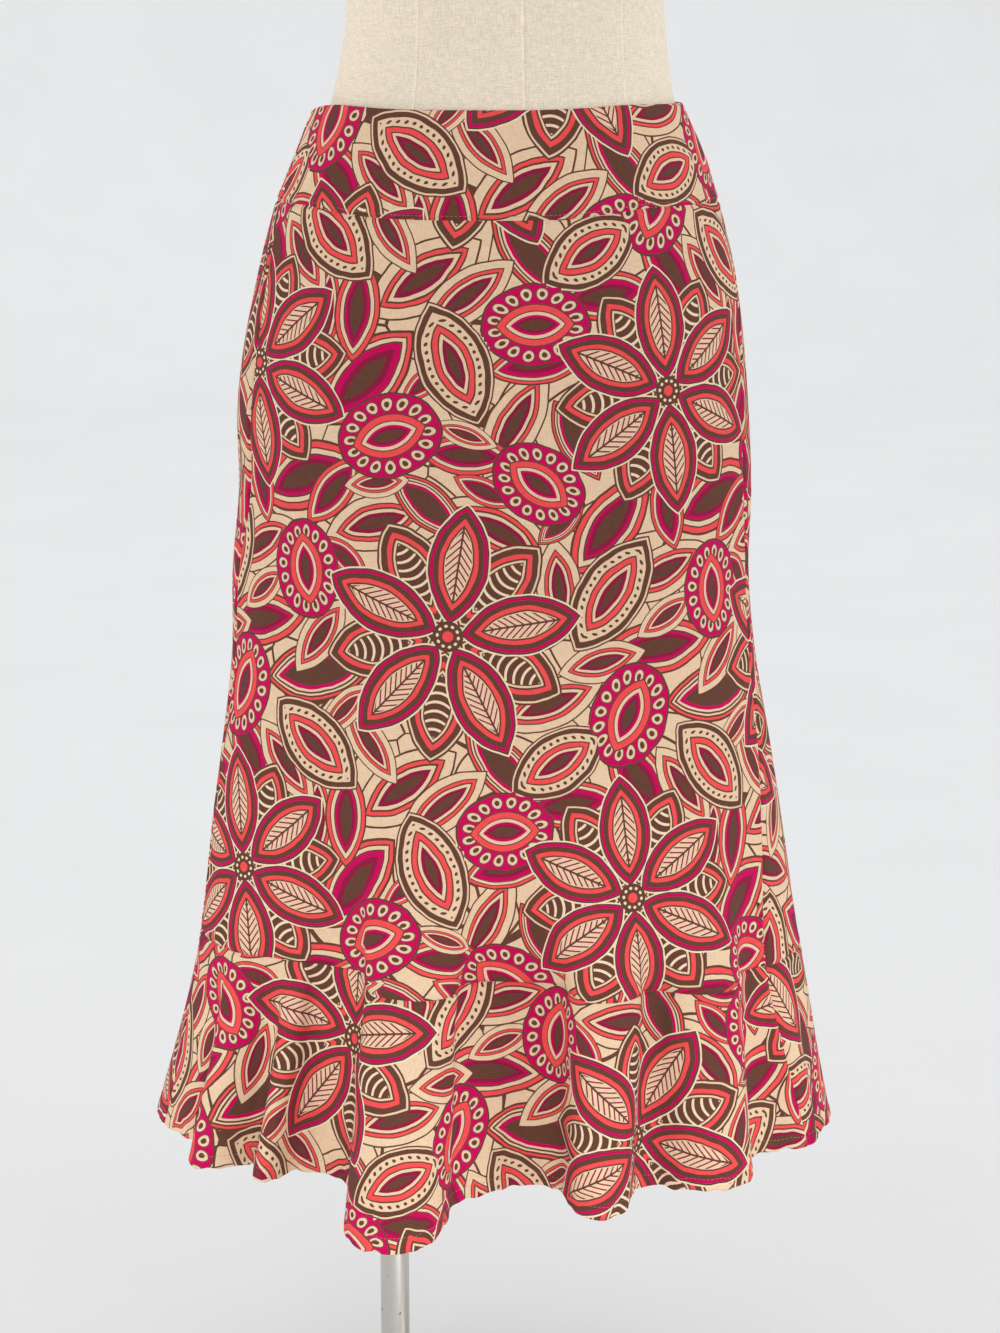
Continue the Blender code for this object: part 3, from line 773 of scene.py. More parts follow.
def attribute(tree, name, what="Vector"):
    """The socket of an attribute of the mesh."""
    return node(tree, "ShaderNodeAttribute", {"attribute_name": name}).outputs[what]


def numbers(tree, name):
    """The three numbers of an attribute of the mesh, as wires."""
    parts = node(tree, "ShaderNodeSeparateXYZ", Vector=attribute(tree, name))
    return [Wire(tree, plug) for plug in parts.outputs]


def in_piece(tree):
    """The point's place in its own object, in metres."""
    return node(tree, "ShaderNodeTexCoord").outputs["Object"]


def stretched(tree, vector, factors):
    """The vector with each part multiplied by its own factor."""
    scaled = node(tree, "ShaderNodeVectorMath", {"operation": "MULTIPLY"})
    feed(tree, scaled.inputs[0], vector)
    feed(tree, scaled.inputs[1], factors)
    return scaled.outputs["Vector"]


def noise(tree, where, scale, detail=2.0):
    """Smooth noise about 0.5, of so many waves a metre: one number, or one for each way."""
    if isinstance(scale, tuple):
        where, scale = stretched(tree, where, scale), 1.0
    made = node(tree, "ShaderNodeTexNoise", Vector=where, Scale=scale, Detail=detail)
    return Wire(tree, made.outputs["Fac"])


def bands(tree, position, stops, smooth=False):
    """Each stop's colour holds from its position to the next one, or runs smoothly into it."""
    ramp = node(tree, "ShaderNodeValToRGB", Fac=position)
    if not smooth:
        ramp.color_ramp.interpolation = "CONSTANT"
    elements = ramp.color_ramp.elements
    elements.remove(elements[1])
    for count, (place, colour) in enumerate(stops):
        element = elements[0] if count == 0 else elements.new(place)
        element.position = place
        element.color = colour
    return ramp.outputs["Color"]


def over(tree, below, above, mask):
    """above where mask is 1, below where it is 0."""
    mix = node(tree, "ShaderNodeMix", {"data_type": "RGBA"})
    for plug, value in (("Factor", mask), ("A", below), ("B", above)):
        feed(tree, mix.inputs[plug], value)
    return mix.outputs["Result"]


def tinted(tree, colour, shade):
    """The colour times a number, so 1 leaves it as it is."""
    made = node(tree, "ShaderNodeVectorMath", {"operation": "SCALE"}, Scale=shade)
    feed(tree, made.inputs[0], colour)
    return made.outputs["Vector"]


def bumped(tree, strength, depth, height):
    """The surface's normal, tilted by the slope of a height."""
    made = node(tree, "ShaderNodeBump", Strength=strength, Distance=depth, Height=height)
    return made.outputs["Normal"]


# %% Inks
def ink(red, green, blue):
    """A colour as the eye reads it, 0 to 1, made linear for the shader."""
    linear = [c / 12.92 if c < 0.04045 else ((c + 0.055) / 1.055) ** 2.4 for c in (red, green, blue)]
    return (*linear, 1.0)


SAND = ink(0.865, 0.745, 0.62)
CREAM = ink(0.90, 0.80, 0.68)
CORAL = ink(0.90, 0.29, 0.30)
MAGENTA = ink(0.75, 0.0, 0.33)
BROWN = ink(0.375, 0.235, 0.185)
PLUM = ink(0.53, 0.09, 0.23)

# %% [markdown]
# ## The inks of the print
#
# Each face of the cloth knows, for each layer of the print, where it lies on the nearest motif.
# The material turns that into a depth: 0 on the motif's outline and 1 on its long axis. Bands of
# ink follow the depth, so a leaf is coloured from its edge inwards like contour lines. The
# layers are then laid over one another, leaves first and flowers last.

# %% Leaves
LEAF_INKS = (
    (
        (0, BROWN), (0.07, CORAL), (0.22, BROWN), (0.28, SAND), (0.42, BROWN), (0.47, MAGENTA),
        (0.57, PLUM), (0.71, BROWN),
    ),
    (
        (0, BROWN), (0.07, CORAL), (0.18, BROWN), (0.23, SAND), (0.33, BROWN), (0.38, MAGENTA),
        (0.55, PLUM), (0.73, BROWN),
    ),
    (
        (0, BROWN), (0.05, SAND), (0.33, BROWN), (0.38, CORAL), (0.50, BROWN), (0.56, SAND),
        (0.67, PLUM), (0.81, BROWN),
    ),
    (
        (0, BROWN), (0.07, CORAL), (0.15, BROWN), (0.21, SAND), (0.28, BROWN), (0.34, SAND),
        (0.41, MAGENTA), (0.54, BROWN),
    ),
)


def ink_leaves(tree, colour, layer, wobble):
    """Leaves of one size: depth is (radius - distance to the arc's centre) / width."""
    x, y, kind = numbers(tree, f"{layer}_place")
    radius, offset, _ = numbers(tree, f"{layer}_form")
    depth = (radius - distance(x, y.size() + offset)) / (radius - offset) + wobble
    ways = len(LEAF_INKS)
    stops = [((i + place) / ways, shade) for i in range(ways) for place, shade in LEAF_INKS[i]]
    tone = bands(tree, (depth.least(0.999).most(0.0) + kind) / float(ways), stops)
    return over(tree, colour, tone, depth > 0.0)


# %% [markdown]
# ### Seed heads and pods
#
# A seed head is an oval with seeds round a leaf. They are one seed, repeated by the fraction of
# the angle round the head. A pod is a lens with a row of dots along its rim.

# %% Seed heads and pods
POD_INKS = (
    (0, BROWN), (0.04, SAND), (0.09, BROWN), (0.24, SAND), (0.48, BROWN), (0.52, CORAL),
    (0.65, BROWN), (0.69, SAND), (0.77, PLUM), (0.88, BROWN),
)
HEAD_LEAF_INKS = (
    (0, BROWN), (0.06, CORAL), (0.33, BROWN), (0.38, SAND), (0.53, MAGENTA), (0.64, PLUM),
    (0.76, BROWN),
)
SEED_INKS = ((0, BROWN), (0.34, SAND), (0.67, BROWN), (0.80, MAGENTA))
SEEDS = 16
SEED_RING, SEED_REACH, SEED_WIDTH = 0.73, 0.17, 0.82
HEAD_RIM, HEAD_LEAF = 0.955, (0.72, 0.52)
DOT_STEP, DOT_DEPTH, DOT_RADIUS = 0.52, 0.36, 0.12


def ink_heads(tree, colour, wobble):
    """Both are measured in their own directions: out is 1 on an oval's outline, and deep is
    the depth in a lens. A seed's sizes are shares of its sector and of the head."""
    x, y, kind = numbers(tree, "heads_place")
    length, width, radius = numbers(tree, "heads_form")
    across, along = x / length, y / width
    out = distance(across, along) - wobble
    turn = along.calc("ARCTAN2", across) * (SEEDS / FULL_TURN)
    seed = distance((turn.part() - 0.5) * (2 / SEED_WIDTH), (out - SEED_RING) / SEED_REACH)
    tone = over(tree, bands(tree, seed * 0.8, SEED_INKS), BROWN, out > HEAD_RIM)
    leaf_length, leaf_width = length * HEAD_LEAF[0], width * HEAD_LEAF[1]
    leaf_radius = (leaf_length * leaf_length + leaf_width * leaf_width) / (leaf_width * 2.0)
    leaf = (leaf_radius - distance(x, y.size() + leaf_radius - leaf_width)) / leaf_width
    tone = over(tree, tone, bands(tree, leaf.most(0.0), HEAD_LEAF_INKS), leaf > 0.0)
    colour = over(tree, colour, tone, (out < 1.0) * (kind < 0.5))
    deep = (radius - distance(x, y.size() + radius - width)) / width + wobble
    off = ((x / DOT_STEP).part() - 0.5) * DOT_STEP
    dot = distance(off, (deep - DOT_DEPTH) * width) < DOT_RADIUS
    tone = over(tree, bands(tree, deep.most(0.0), POD_INKS), BROWN, dot)
    return over(tree, colour, tone, (deep > 0.0) * (kind > 0.5))


# %% [markdown]
# ### Flowers
#
# A flower's petals are one petal too, turned to the nearest of its axes. A petal has a distance
# from the heart, a length and a width. It is drawn on a flower of 7.2 cm and scaled with it.

# %% Flowers
PETAL_INKS = (
    (0, BROWN), (0.03, MAGENTA), (0.13, BROWN), (0.32, CORAL), (0.47, BROWN), (0.53, SAND),
)
UNDER_PETAL_INKS = (
    (0, BROWN), (0.06, SAND), (0.12, BROWN), (0.30, CORAL), (0.44, BROWN), (0.50, SAND),
    (0.56, BROWN),
)
DRAWN_SIZE = 7.2
FLOWER_PETAL = (4.0 / DRAWN_SIZE, 3.2 / DRAWN_SIZE, 1.55 / DRAWN_SIZE)
UNDER_PETAL = (3.9 / DRAWN_SIZE, 3.1 / DRAWN_SIZE, 1.8 / DRAWN_SIZE)
HEART, HEART_RING, HEART_MIDDLE = 0.85 / DRAWN_SIZE, 0.58 / DRAWN_SIZE, 0.3 / DRAWN_SIZE
HEART_DOTS = 10


def petal(out, turn, count, shift, scale, shape):
    """Along and across the nearest petal, and the depth in it, after turning it to the axis."""
    sector = (turn / FULL_TURN) * count - shift
    off = (sector - sector.calc("ROUND")) * FULL_TURN / count
    along = out * off.calc("COSINE") - scale * shape[0]
    across = out * off.calc("SINE")
    radius, offset = lens_arc(shape[1], shape[2])
    depth = (scale * radius - distance(along, across.size() + scale * offset)) / (scale * shape[2])
    return along, across.size(), depth


def ink_flowers(tree, colour, wobble):
    """Pointed petals with veins, striped petals under and between them, and a dotted heart."""
    x, y, count = numbers(tree, "flowers_place")
    scale = numbers(tree, "flowers_form")[0]
    out = distance(x, y)
    turn = y.calc("ARCTAN2", x)
    along, across, depth = petal(out, turn, count, 0.5, scale, UNDER_PETAL)
    depth = depth + wobble
    tone = bands(tree, depth.most(0.0), UNDER_PETAL_INKS)
    arc = (((along - across * across * 0.4) / 0.62).part() - 0.5).size() < 0.15
    tone = over(tree, tone, CREAM, arc * (depth > 0.60))
    colour = over(tree, colour, tone, depth > 0.0)
    along, across, depth = petal(out, turn, count, 0.0, scale, FLOWER_PETAL)
    depth = depth + wobble
    tone = bands(tree, depth.most(0.0), PETAL_INKS)
    vein = (((along + across * 1.2) / 0.52).part() - 0.5).size() < 0.15
    tone = over(tree, tone, PLUM, vein * (depth > 0.56))
    tone = over(tree, tone, BROWN, (across < 0.07) * (depth > 0.5))
    dots = (turn * (HEART_DOTS / FULL_TURN)).part() - 0.5
    ring = distance(dots * 0.36, out - scale * HEART_RING) < 0.10
    for above, mask in (
        (CREAM, depth > -0.10),
        (BROWN, depth > -0.04),
        (tone, depth > 0.0),
        (BROWN, out < scale * HEART),
        (CREAM, ring),
        (CORAL, out < scale * HEART_MIDDLE),
    ):
        colour = over(tree, colour, above, mask)
    return colour


# %% [markdown]
# ### The whole cloth
#
# The ground is sand with thin brown lines, and the motifs lie on it. The weave comes last:
# uneven threads run both ways, shade the ink a little and raise a fine bump.

# %% The printed cloth's two sides
THREAD_GAP = 0.00055
SHOW_THROUGH = 0.62


def lined_ground(tree, flat):
    """Brown lines on sand, along the borders of cells that a slow noise has bent."""
    bend = node(tree, "ShaderNodeTexNoise", Vector=flat, Scale=14.0, Detail=0.0)
    bent = node(tree, "ShaderNodeVectorMath", {"operation": "MULTIPLY_ADD"})
    for plug, value in zip(bent.inputs, (bend.outputs["Color"], (0.045, 0.045, 0.0), flat)):
        feed(tree, plug, value)
    edges = {"feature": "DISTANCE_TO_EDGE"}
    cells = node(tree, "ShaderNodeTexVoronoi", edges, Vector=bent.outputs["Vector"], Scale=26.0)
    return over(tree, SAND, BROWN, Wire(tree, cells.outputs["Distance"]) < 0.018)


def printed_cloth(name, face):
    """The printed side, face 1, or the pale wrong side, face 0, where ink only shows through."""
    made, tree, shader = new_material(
        name, Roughness=0.88, Sheen_Weight=0.02, Sheen_Roughness=0.5, Specular_IOR_Level=0.12
    )
    flat = attribute(tree, "flat")
    wobble = (noise(tree, flat, 70.0, 1.0) - 0.5) * 0.10
    colour = lined_ground(tree, flat)
    for layer, _ in LAYERS[: len(LEAF_SIZES)]:
        colour = ink_leaves(tree, colour, layer, wobble)
    colour = ink_heads(tree, colour, wobble)
    colour = ink_flowers(tree, colour, wobble)
    if not face:
        colour = over(tree, colour, SAND, SHOW_THROUGH)
    slub = noise(tree, flat, (160.0, 1700.0, 1.0)) + noise(tree, flat, (1700.0, 160.0, 1.0))
    x, y, _ = numbers(tree, "flat")
    weave = (x * (math.pi / THREAD_GAP)).calc("SINE") * (y * (math.pi / THREAD_GAP)).calc("SINE")
    colour = tinted(tree, colour, (slub - 1.0) * 0.34 + 0.94)
    normal = bumped(tree, 0.30, 0.0004, slub + weave * 0.25)
    plug_in(tree, shader, Base_Color=colour, Normal=normal)
    return made


cloth_face = printed_cloth("printed_cloth", 1)
cloth_back = printed_cloth("printed_cloth_wrong_side", 0)
print("printed cloth:", len(cloth_face.node_tree.nodes), "nodes")

# %% [markdown]
# ## Each cut piece as a shell
#
# Six pieces are cut for this skirt: a yoke, a body and a flounce, each front and back. Each is a
# closed shell as thick as sewn cloth. Rows and columns lie closer together near its edges, where
# the cloth rolls into the seams.

# %% The six cuts, in millimetres, with where each lies on the print, in centimetres
Panel = namedtuple("Panel", "piece side top bottom step shift")
PANELS = (
    Panel("yoke", "front", WAIST_EDGE, YOKE_SEAM, 2.6, (5.5, 4.0)),
    Panel("yoke", "back", WAIST_EDGE, YOKE_SEAM, 2.6, (17.0, 12.0)),
    Panel("skirt", "front", YOKE_SEAM, FLOUNCE_SEAM, 3.2, (11.5, 3.0)),
    Panel("skirt", "back", YOKE_SEAM, FLOUNCE_SEAM, 3.6, (2.0, 9.0)),
    Panel("flounce", "front", FLOUNCE_SEAM, HEM, 2.6, (20.0, 15.0)),
    Panel("flounce", "back", FLOUNCE_SEAM, HEM, 2.9, (8.0, 22.0)),
)
EDGE_STEPS = np.array([0.0, 0.3, 0.7, 1.2, 1.9, 2.9])
CLOTH_OUT = 0.8
CLOTH_IN = -0.2
SEAM_ROLL = 1.7
SEAM_BULK = 0.5
FINE_STEPS = 3001
ROW_STEPS = 901


def edged(length, step):
    """Places from 0 to length: close steps at both ends and even ones of about step between."""
    count = max(2, round((length - 2 * EDGE_STEPS[-1]) / step))
    middle = np.linspace(EDGE_STEPS[-1], length - EDGE_STEPS[-1], count + 1)
    return np.concatenate([EDGE_STEPS[:-1], middle, length - EDGE_STEPS[-2::-1]])


def mirror_of(panel):
    """1 for the front, and -1 for the back, whose angles run the other way."""
    return 1.0 if panel.side == "front" else -1.0


def faced(points, panel):
    """Normals out of the cloth: the cross product of the grid's ways down and across."""
    down, across = (unit(np.gradient(points, axis=axis)) for axis in (0, 1))
    return unit(np.cross(down, across)) * mirror_of(panel)


def panel_grid(panel):
    """Heights, middle points and normals of a panel's fine grid, in millimetres. Its columns
    are spaced along the lower edge."""
    fine = np.linspace(0.0, 1.0, FINE_STEPS)
    low = skirt_surface(panel_angles(panel.side, np.array(panel.bottom), fine), panel.bottom)
    length = travelled(low)
    share = np.interp(edged(length[-1], panel.step), length, fine)[None, :]
    height = (panel.top - edged(panel.top - panel.bottom, panel.step))[:, None]

    def cloth(height_shift, share_shift):
        """The surface at heights and shares that are shifted a little."""
        level = height + height_shift
        return skirt_surface(panel_angles(panel.side, level, share + share_shift), level)

    small = 1e-4
    across = cloth(0.0, small) - cloth(0.0, -small)
    down = cloth(-small, 0.0) - cloth(small, 0.0)
    return height, cloth(0.0, 0.0), unit(np.cross(down, across)) * mirror_of(panel)


# %% [markdown]
# ### The flat pattern
#
# The net that is unrolled is coarser than the cloth's grid, so it settles quickly. The grid's
# flat places are read off between its points.


# %% Flat places of the fine grid
def row_shares(points):
    """How far along its row each point lies, from 0 at one seam to 1 at the other, and the
    longest row's length."""
    length = travelled(points)
    return length / length[:, -1:], length[:, -1].max()


def read_off(net, row, column):
    """Values between a net's points, from its four nearest by their shares."""
    row, column = np.broadcast_arrays(row, column)
    low = np.minimum(row.astype(int), net.shape[0] - 2)
    left = np.minimum(column.astype(int), net.shape[1] - 2)
    row_part, column_part = (row - low)[..., None], (column - left)[..., None]
    upper = net[low, left] * (1 - column_part) + net[low, left + 1] * column_part
    lower = net[low + 1, left] * (1 - column_part) + net[low + 1, left + 1] * column_part
    return upper * (1 - row_part) + lower * row_part


def flat_pattern(panel, height, middle):
    """The panel's net has even steps along every row. It is unrolled, and read off."""
    rows = round((panel.top - panel.bottom) / NET_CELL)
    net_height = np.linspace(panel.top, panel.bottom, rows * NET_PARTS + 1)[:, None]
    dense = panel_angles(panel.side, net_height, np.linspace(0.0, 1.0, ROW_STEPS)[None, :])
    share, width = row_shares(skirt_surface(dense, net_height))
    columns = 2 * round(width / NET_CELL / 2)
    even = np.linspace(0.0, 1.0, columns * NET_PARTS + 1)
    angle = np.stack([np.interp(even, one, row) for one, row in zip(share, dense)])
    net, stretch = unroll(skirt_surface(angle, net_height) * (mirror_of(panel), 1.0, 1.0))
    row = (panel.top - height) / (panel.top - panel.bottom) * rows
    return read_off(net, row, row_shares(middle)[0] * columns), stretch


# %% [markdown]
# ### Seams, hem and waist edge
#
# Beside a seam the cloth rolls in, and next to that it stands proud over the allowances behind
# it. The hem is turned twice and stitched, so its last eight millimetres are thicker.


# %% The cloth's two faces
def cloth_faces(panel, to_side, level):
    """How far the outer and the inner face lie from the cloth's middle: at every seam a bell
    taken off and a wider one added, and a soft step up to the turned hem."""
    to_seam = to_side
    if panel.piece != "yoke":
        to_seam = np.minimum(to_seam, panel.top - level)
    if panel.piece != "flounce":
        to_seam = np.minimum(to_seam, level - panel.bottom)
    out = CLOTH_OUT - (CLOTH_OUT + 0.1) * bell(to_seam / SEAM_ROLL)
    out = out + SEAM_BULK * bell((to_seam - 2.2 * SEAM_ROLL) / (1.5 * SEAM_ROLL))
    inward = np.full_like(out, CLOTH_IN)
    if panel.piece == "flounce":
        hem = level - panel.bottom
        turned_up = smooth_step((HEM_STITCHES + 0.8 - hem) / 0.8)
        edge = bell(hem / 0.45)
        out = out + 0.1 * turned_up - 0.35 * bell((hem - HEM_STITCHES) / 0.9) - 0.5 * edge
        inward = inward - 0.6 * turned_up + 0.4 * edge
    if panel.piece == "yoke":
        edge = bell((panel.top - level) / 0.5)
        out = out - 0.45 * edge
        inward = inward - 0.4 + 0.3 * edge
    return out[..., None], inward[..., None]


# %% [markdown]
# ### Where the print falls
#
# Every corner of every face is told its place on the nearest motif of each layer, so the
# material never has to search. A whole face belongs to one motif, which keeps the drawing sharp.


# %% The print on a piece
def motif_depth(layer, x, y, motif):
    """Greatest on the motif that a point belongs to."""
    if layer == "flowers":
        return motif.length - np.hypot(x, y)
    if layer == "heads" and motif.kind == 0:
        return (1 - np.hypot(x / motif.length, y / motif.width)) * motif.width
    return lens_depth(x, y, motif.length, motif.width)


def motif_form(layer, motif):
    """The sizes that the material needs: a leaf's arc, a head's two radii, a flower's size."""
    radius, offset = lens_arc(motif.length, motif.width)
    if layer == "flowers":
        return motif.length, 0.0, 0.0
    if layer == "heads":
        return motif.length, motif.width, radius if motif.kind else 99.0
    return radius, offset, 0.0


def place_print(piece, flat, faces):
    """Writes for each layer where each face lies on its nearest motif, corner by corner."""
    mesh = piece.data
    metres = np.pad(flat * CM, ((0, 0), (0, 1)))
    made = mesh.attributes.new("flat", "FLOAT_VECTOR", "POINT")
    made.data.foreach_set("vector", metres.astype(np.float32).ravel())
    corner = flat[faces]
    centre = corner.mean(axis=1)
    for layer, motifs in LAYERS:
        depth = np.stack([motif_depth(layer, *on_motif(*centre.T, m), m) for m in motifs])
        nearest = depth.argmax(axis=0)
        place = np.zeros((len(faces), 4, 3), dtype=np.float32)
        form = np.zeros((len(faces), 3), dtype=np.float32)
        for number, motif in enumerate(motifs):
            chosen = nearest == number
            turn = math.radians(motif.turn)
            x, y = on_motif(*centre[chosen].T, motif)
            away = corner[chosen] - centre[chosen][:, None]
            place[chosen, :, 0] = x[:, None] + away @ (math.cos(turn), math.sin(turn))
            place[chosen, :, 1] = y[:, None] + away @ (-math.sin(turn), math.cos(turn))
            place[chosen, :, 2] = motif.kind
            form[chosen] = motif_form(layer, motif)
        for suffix, domain, values in (("place", "CORNER", place), ("form", "FACE", form)):
            made = mesh.attributes.new(f"{layer}_{suffix}", "FLOAT_VECTOR", domain)
            made.data.foreach_set("vector", values.ravel())


# %% [markdown]
# ### Cutting the pieces
#
# Creases and puckers move a piece's middle, its two faces lie on either side of that, and a rim
# closes its edges.


# %% Cut the six panels
def cloth_area(flat):
    """Flat area of a grid: half the cross product of each quad's diagonals, all summed."""
    one = flat[1:, 1:] - flat[:-1, :-1]
    two = flat[1:, :-1] - flat[:-1, 1:]
    return float(np.abs(one[..., 0] * two[..., 1] - one[..., 1] * two[..., 0]).sum() / 2)


def cut_panel(panel):
    """One piece of the skirt, with its outer and inner face and its closed edges."""
    height, middle, normal = panel_grid(panel)
    rows, columns = middle.shape[:2]
    level = np.broadcast_to(height, (rows, columns))
    x = travelled(middle)
    x = (x - x[:, [columns // 2]]) * mirror_of(panel)
    flat, stretch = flat_pattern(panel, height, middle)
    to_side = np.minimum(np.abs(x - x[:, :1]), np.abs(x[:, -1:] - x))
    middle = middle + normal * relief(panel.side, x, to_side, level)[..., None]
    waver = bell((level - HEM) / (2.2 * HEM_STITCHES)) * smooth_step(to_side / SIDE_FADE)
    middle[..., 2] -= HEM_WAVER * waver * ripples(x, 19.0, 5.0)
    normal = faced(middle, panel)
    out, inward = cloth_faces(panel, to_side, level)
    outer, inner = middle + normal * out, middle + normal * inward

    outside = grid_quads(rows, columns)
    inside = grid_quads(rows, columns, rows * columns)[:, ::-1]
    faces = np.concatenate([outside, inside, rim_quads(rows, columns)])
    if panel.side == "back":
        faces = faces[:, ::-1]
    wrong_side = np.zeros(len(faces), dtype=np.int32)
    wrong_side[len(outside) : len(outside) + len(inside)] = 1
    name = f"{panel.piece}_{panel.side}_cloth"
    points = np.stack([outer, inner]) * MM
    piece = put_mesh(name, points, faces, (cloth_face, cloth_back), wrong_side, sharp=70.0)
    flat = flat / 10.0 + panel.shift
    place_print(piece, np.concatenate([flat.reshape(-1, 2)] * 2), faces)
    dress(piece, f"{panel.piece}_{panel.side}")
    cut = np.ptp(flat.reshape(-1, 2), axis=0) * CM
    area = cloth_area(flat * CM)
    print(f"{name}: {len(faces)} quads, cut from {cut[0]:.3f} x {cut[1]:.3f} m, {area:.4f} m2")
    print(f"  laid flat, 98% of it stretches less than {100 * np.quantile(stretch, 0.98):.1f}%")
    return piece, outer, normal, tuple(cut), area


panels = {(panel.piece, panel.side): cut_panel(panel) for panel in PANELS}

# %% [markdown]
# ## Stitches
#
# A lockstitch is a row of short bars of thread that sink into the cloth at both ends. Each bar
# here is a small spindle. The yoke is edge-stitched just above its seam, and the hem is stitched
# eight millimetres above its edge.

# %% Rows of stitches
THREAD_RADIUS = 0.15
Stitching = namedtuple("Stitching", "name piece height pitch length")
STITCHING = (
    Stitching("yoke_stitches", "yoke", YOKE_SEAM + 2.4, 2.9, 2.3),
    Stitching("hem_stitches", "flounce", HEM + HEM_STITCHES, 3.0, 2.4),
)


def row_at(row, side):
    """Points and normals along a panel's outer face at the stitches' height."""
    panel = next(p for p in PANELS if (p.piece, p.side) == (row.piece, side))
    _, outer, normal, _, _ = panels[row.piece, side]
    heights = panel.top - edged(panel.top - panel.bottom, panel.step)
    place = np.interp(-row.height, -heights, np.arange(len(heights)))
    low = int(place)
    t = place - low
    points, normals = (grid[low] * (1 - t) + grid[low + 1] * t for grid in (outer, normal))
    return points, unit(normals)


def spindle_quads(rings=5, sides=4):
    """Quads of one bar's rings, and of its two ends."""
    ends = [np.arange(sides)[::-1], np.arange(sides) + (rings - 1) * sides]
    return np.concatenate([tube_quads(rings, sides), ends])


def stitch_bars(points, normals, pitch, length):
    """Spindles along a line: five rings of four points, at radius r sin(pi t), t from 0 to 1."""
    travel = travelled(points)
    count = int((travel[-1] - 4.0) / pitch)
    middle = (travel[-1] - (count - 1) * pitch) / 2 + pitch * np.arange(count)

    def at(along, values=points):
        """Values at lengths along the line, between its points."""
        return np.stack([np.interp(along, travel, column) for column in values.T], -1)

    run = unit(at(middle + length / 2) - at(middle - length / 2))
    side = unit(np.cross(at(middle, normals), run))
    away = np.cross(run, side)
    t = np.array([0.0, 0.2, 0.5, 0.8, 1.0])
    ring = np.array([[0, 1], [1, 0], [0, -1], [-1, 0]])
    thick = THREAD_RADIUS * np.sqrt(np.clip(np.sin(np.pi * t), 0.02, 1))
    lift = 0.12 * np.sin(np.pi * t) - 0.05
    bars = (
        at(middle)[:, None, None]
        + (t - 0.5)[None, :, None, None] * length * run[:, None, None]
        + (lift[:, None] + thick[:, None] * ring[:, 1])[None, :, :, None] * away[:, None, None]
        + (thick[:, None] * ring[:, 0])[None, :, :, None] * side[:, None, None]
    )
    return bars, spindle_quads()[None] + 20 * np.arange(count)[:, None, None]


# %% Sew them
def sewing_thread():
    """Pale polyester thread: a fine twist across each stitch and a soft gloss."""
    made, tree, shader = new_material("sewing_thread", Roughness=0.55)
    twist = noise(tree, in_piece(tree), 2600.0, 1.0)
    tones = ((0, ink(0.62, 0.44, 0.34)), (0.5, ink(0.70, 0.53, 0.42)))
    plug_in(tree, shader, Base_Color=bands(tree, twist, tones))
    return made


thread = sewing_thread()
for row in STITCHING:
    parts = [stitch_bars(*row_at(row, side), row.pitch, row.length) for side in ("front", "back")]
    first = parts[0][0].size // 3
    points = np.concatenate([bars.reshape(-1, 3) for bars, _ in parts]) * MM
    faces = np.concatenate([parts[0][1].reshape(-1, 4), parts[1][1].reshape(-1, 4) + first])
    made = put_mesh(row.name, points, faces, (thread,))
    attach(made, "root")
    print(f"{row.name}: {len(faces) // 18} stitches")

# %% [markdown]
# ### The panels' sizes
#
# Each panel's flat size and area are worked out and printed when it is cut.

# %% [markdown]
# ## The dress form
#
# The form is a padded torso under a natural linen cover, sewn from shaped panels. Its levels are
# those of the frame's solid, and fair curves run between them as on the skirt.

# %% Levels and seams of the form
FORM = (
    Level("bottom edge", 735, 146, 140, 92, 104),
    Level("bottom round", 743, 156, 149, 101, 113),
    Level("seat", 772, 170, 162, 112.5, 123),
    Level("hip", 798, 175.6, 165.8, 115.6, 124.5),
    Level("over the hip", 835, 170.2, 162.2, 115, 121.2),
    Level("high hip", 880, 157.5, 152, 114, 116),
    Level("yoke seam", 934, 138, 138, 107, 104),
    Level("yoke top", 1000, 113, 117, 93.4, 91.4),
    Level("over the yoke", 1050, 103, 110, 86, 82),
    Level("waist", 1080, 101, 108, 84, 79),
    Level("ribs", 1140, 108, 115, 93, 84),
    Level("under the bust", 1200, 122, 128, 107, 91),
    Level("bust", 1265, 136, 141, 124, 98),
    Level("chest", 1340, 148, 152, 107, 104),
    Level("upper chest", 1390, 156, 159, 88, 103),
    Level("shoulder edge", 1418, 158, 161, 78, 94),
    Level("shoulder slope", 1440, 138, 141, 70, 84),
    Level("neck root", 1466, 84, 86, 60, 64),
    Level("neck", 1492, 57, 59, 52, 51),
    Level("neck top", 1525, 54, 56, 50, 48),
)
FORM_BOTTOM = FORM[0].height
FORM_TOP = FORM[-1].height
SEAM_ANGLES = (8.0, -32.0, 48.0, -90.0, 98.0, 188.0, -128.0, 144.0)
SEAM_DEPTH = 0.8
SEAM_WIDTH = 0.9
ARMHOLE_SIDES = (-90.0, 98.0)
ARMHOLE = (1352.0, 40.0, 56.0)
NECK_SEAM = 1484.0
TORSO_COLUMNS, TORSO_ROWS, BOARD_SIDES = 236, 300, 180


# %% [markdown]
# ### Its seams
#
# On a seam the cover's turned edges make a rounded ridge, and beside it the stitches draw in a
# narrow dip. Seams run down the form and round the neck, and a ring marks each armhole.


# %% The torso's grid
def sewn_edge(distance_mm, width):
    """A rounded ridge over the seam's turned edges, and beside it the narrow dip of its
    stitches: the difference of two bells."""
    ridge = np.exp(-((distance_mm / width + 1.2) ** 2))
    dip = np.exp(-((distance_mm / (0.55 * width)) ** 2))
    return SEAM_DEPTH * (0.62 * ridge - 0.50 * dip), ridge


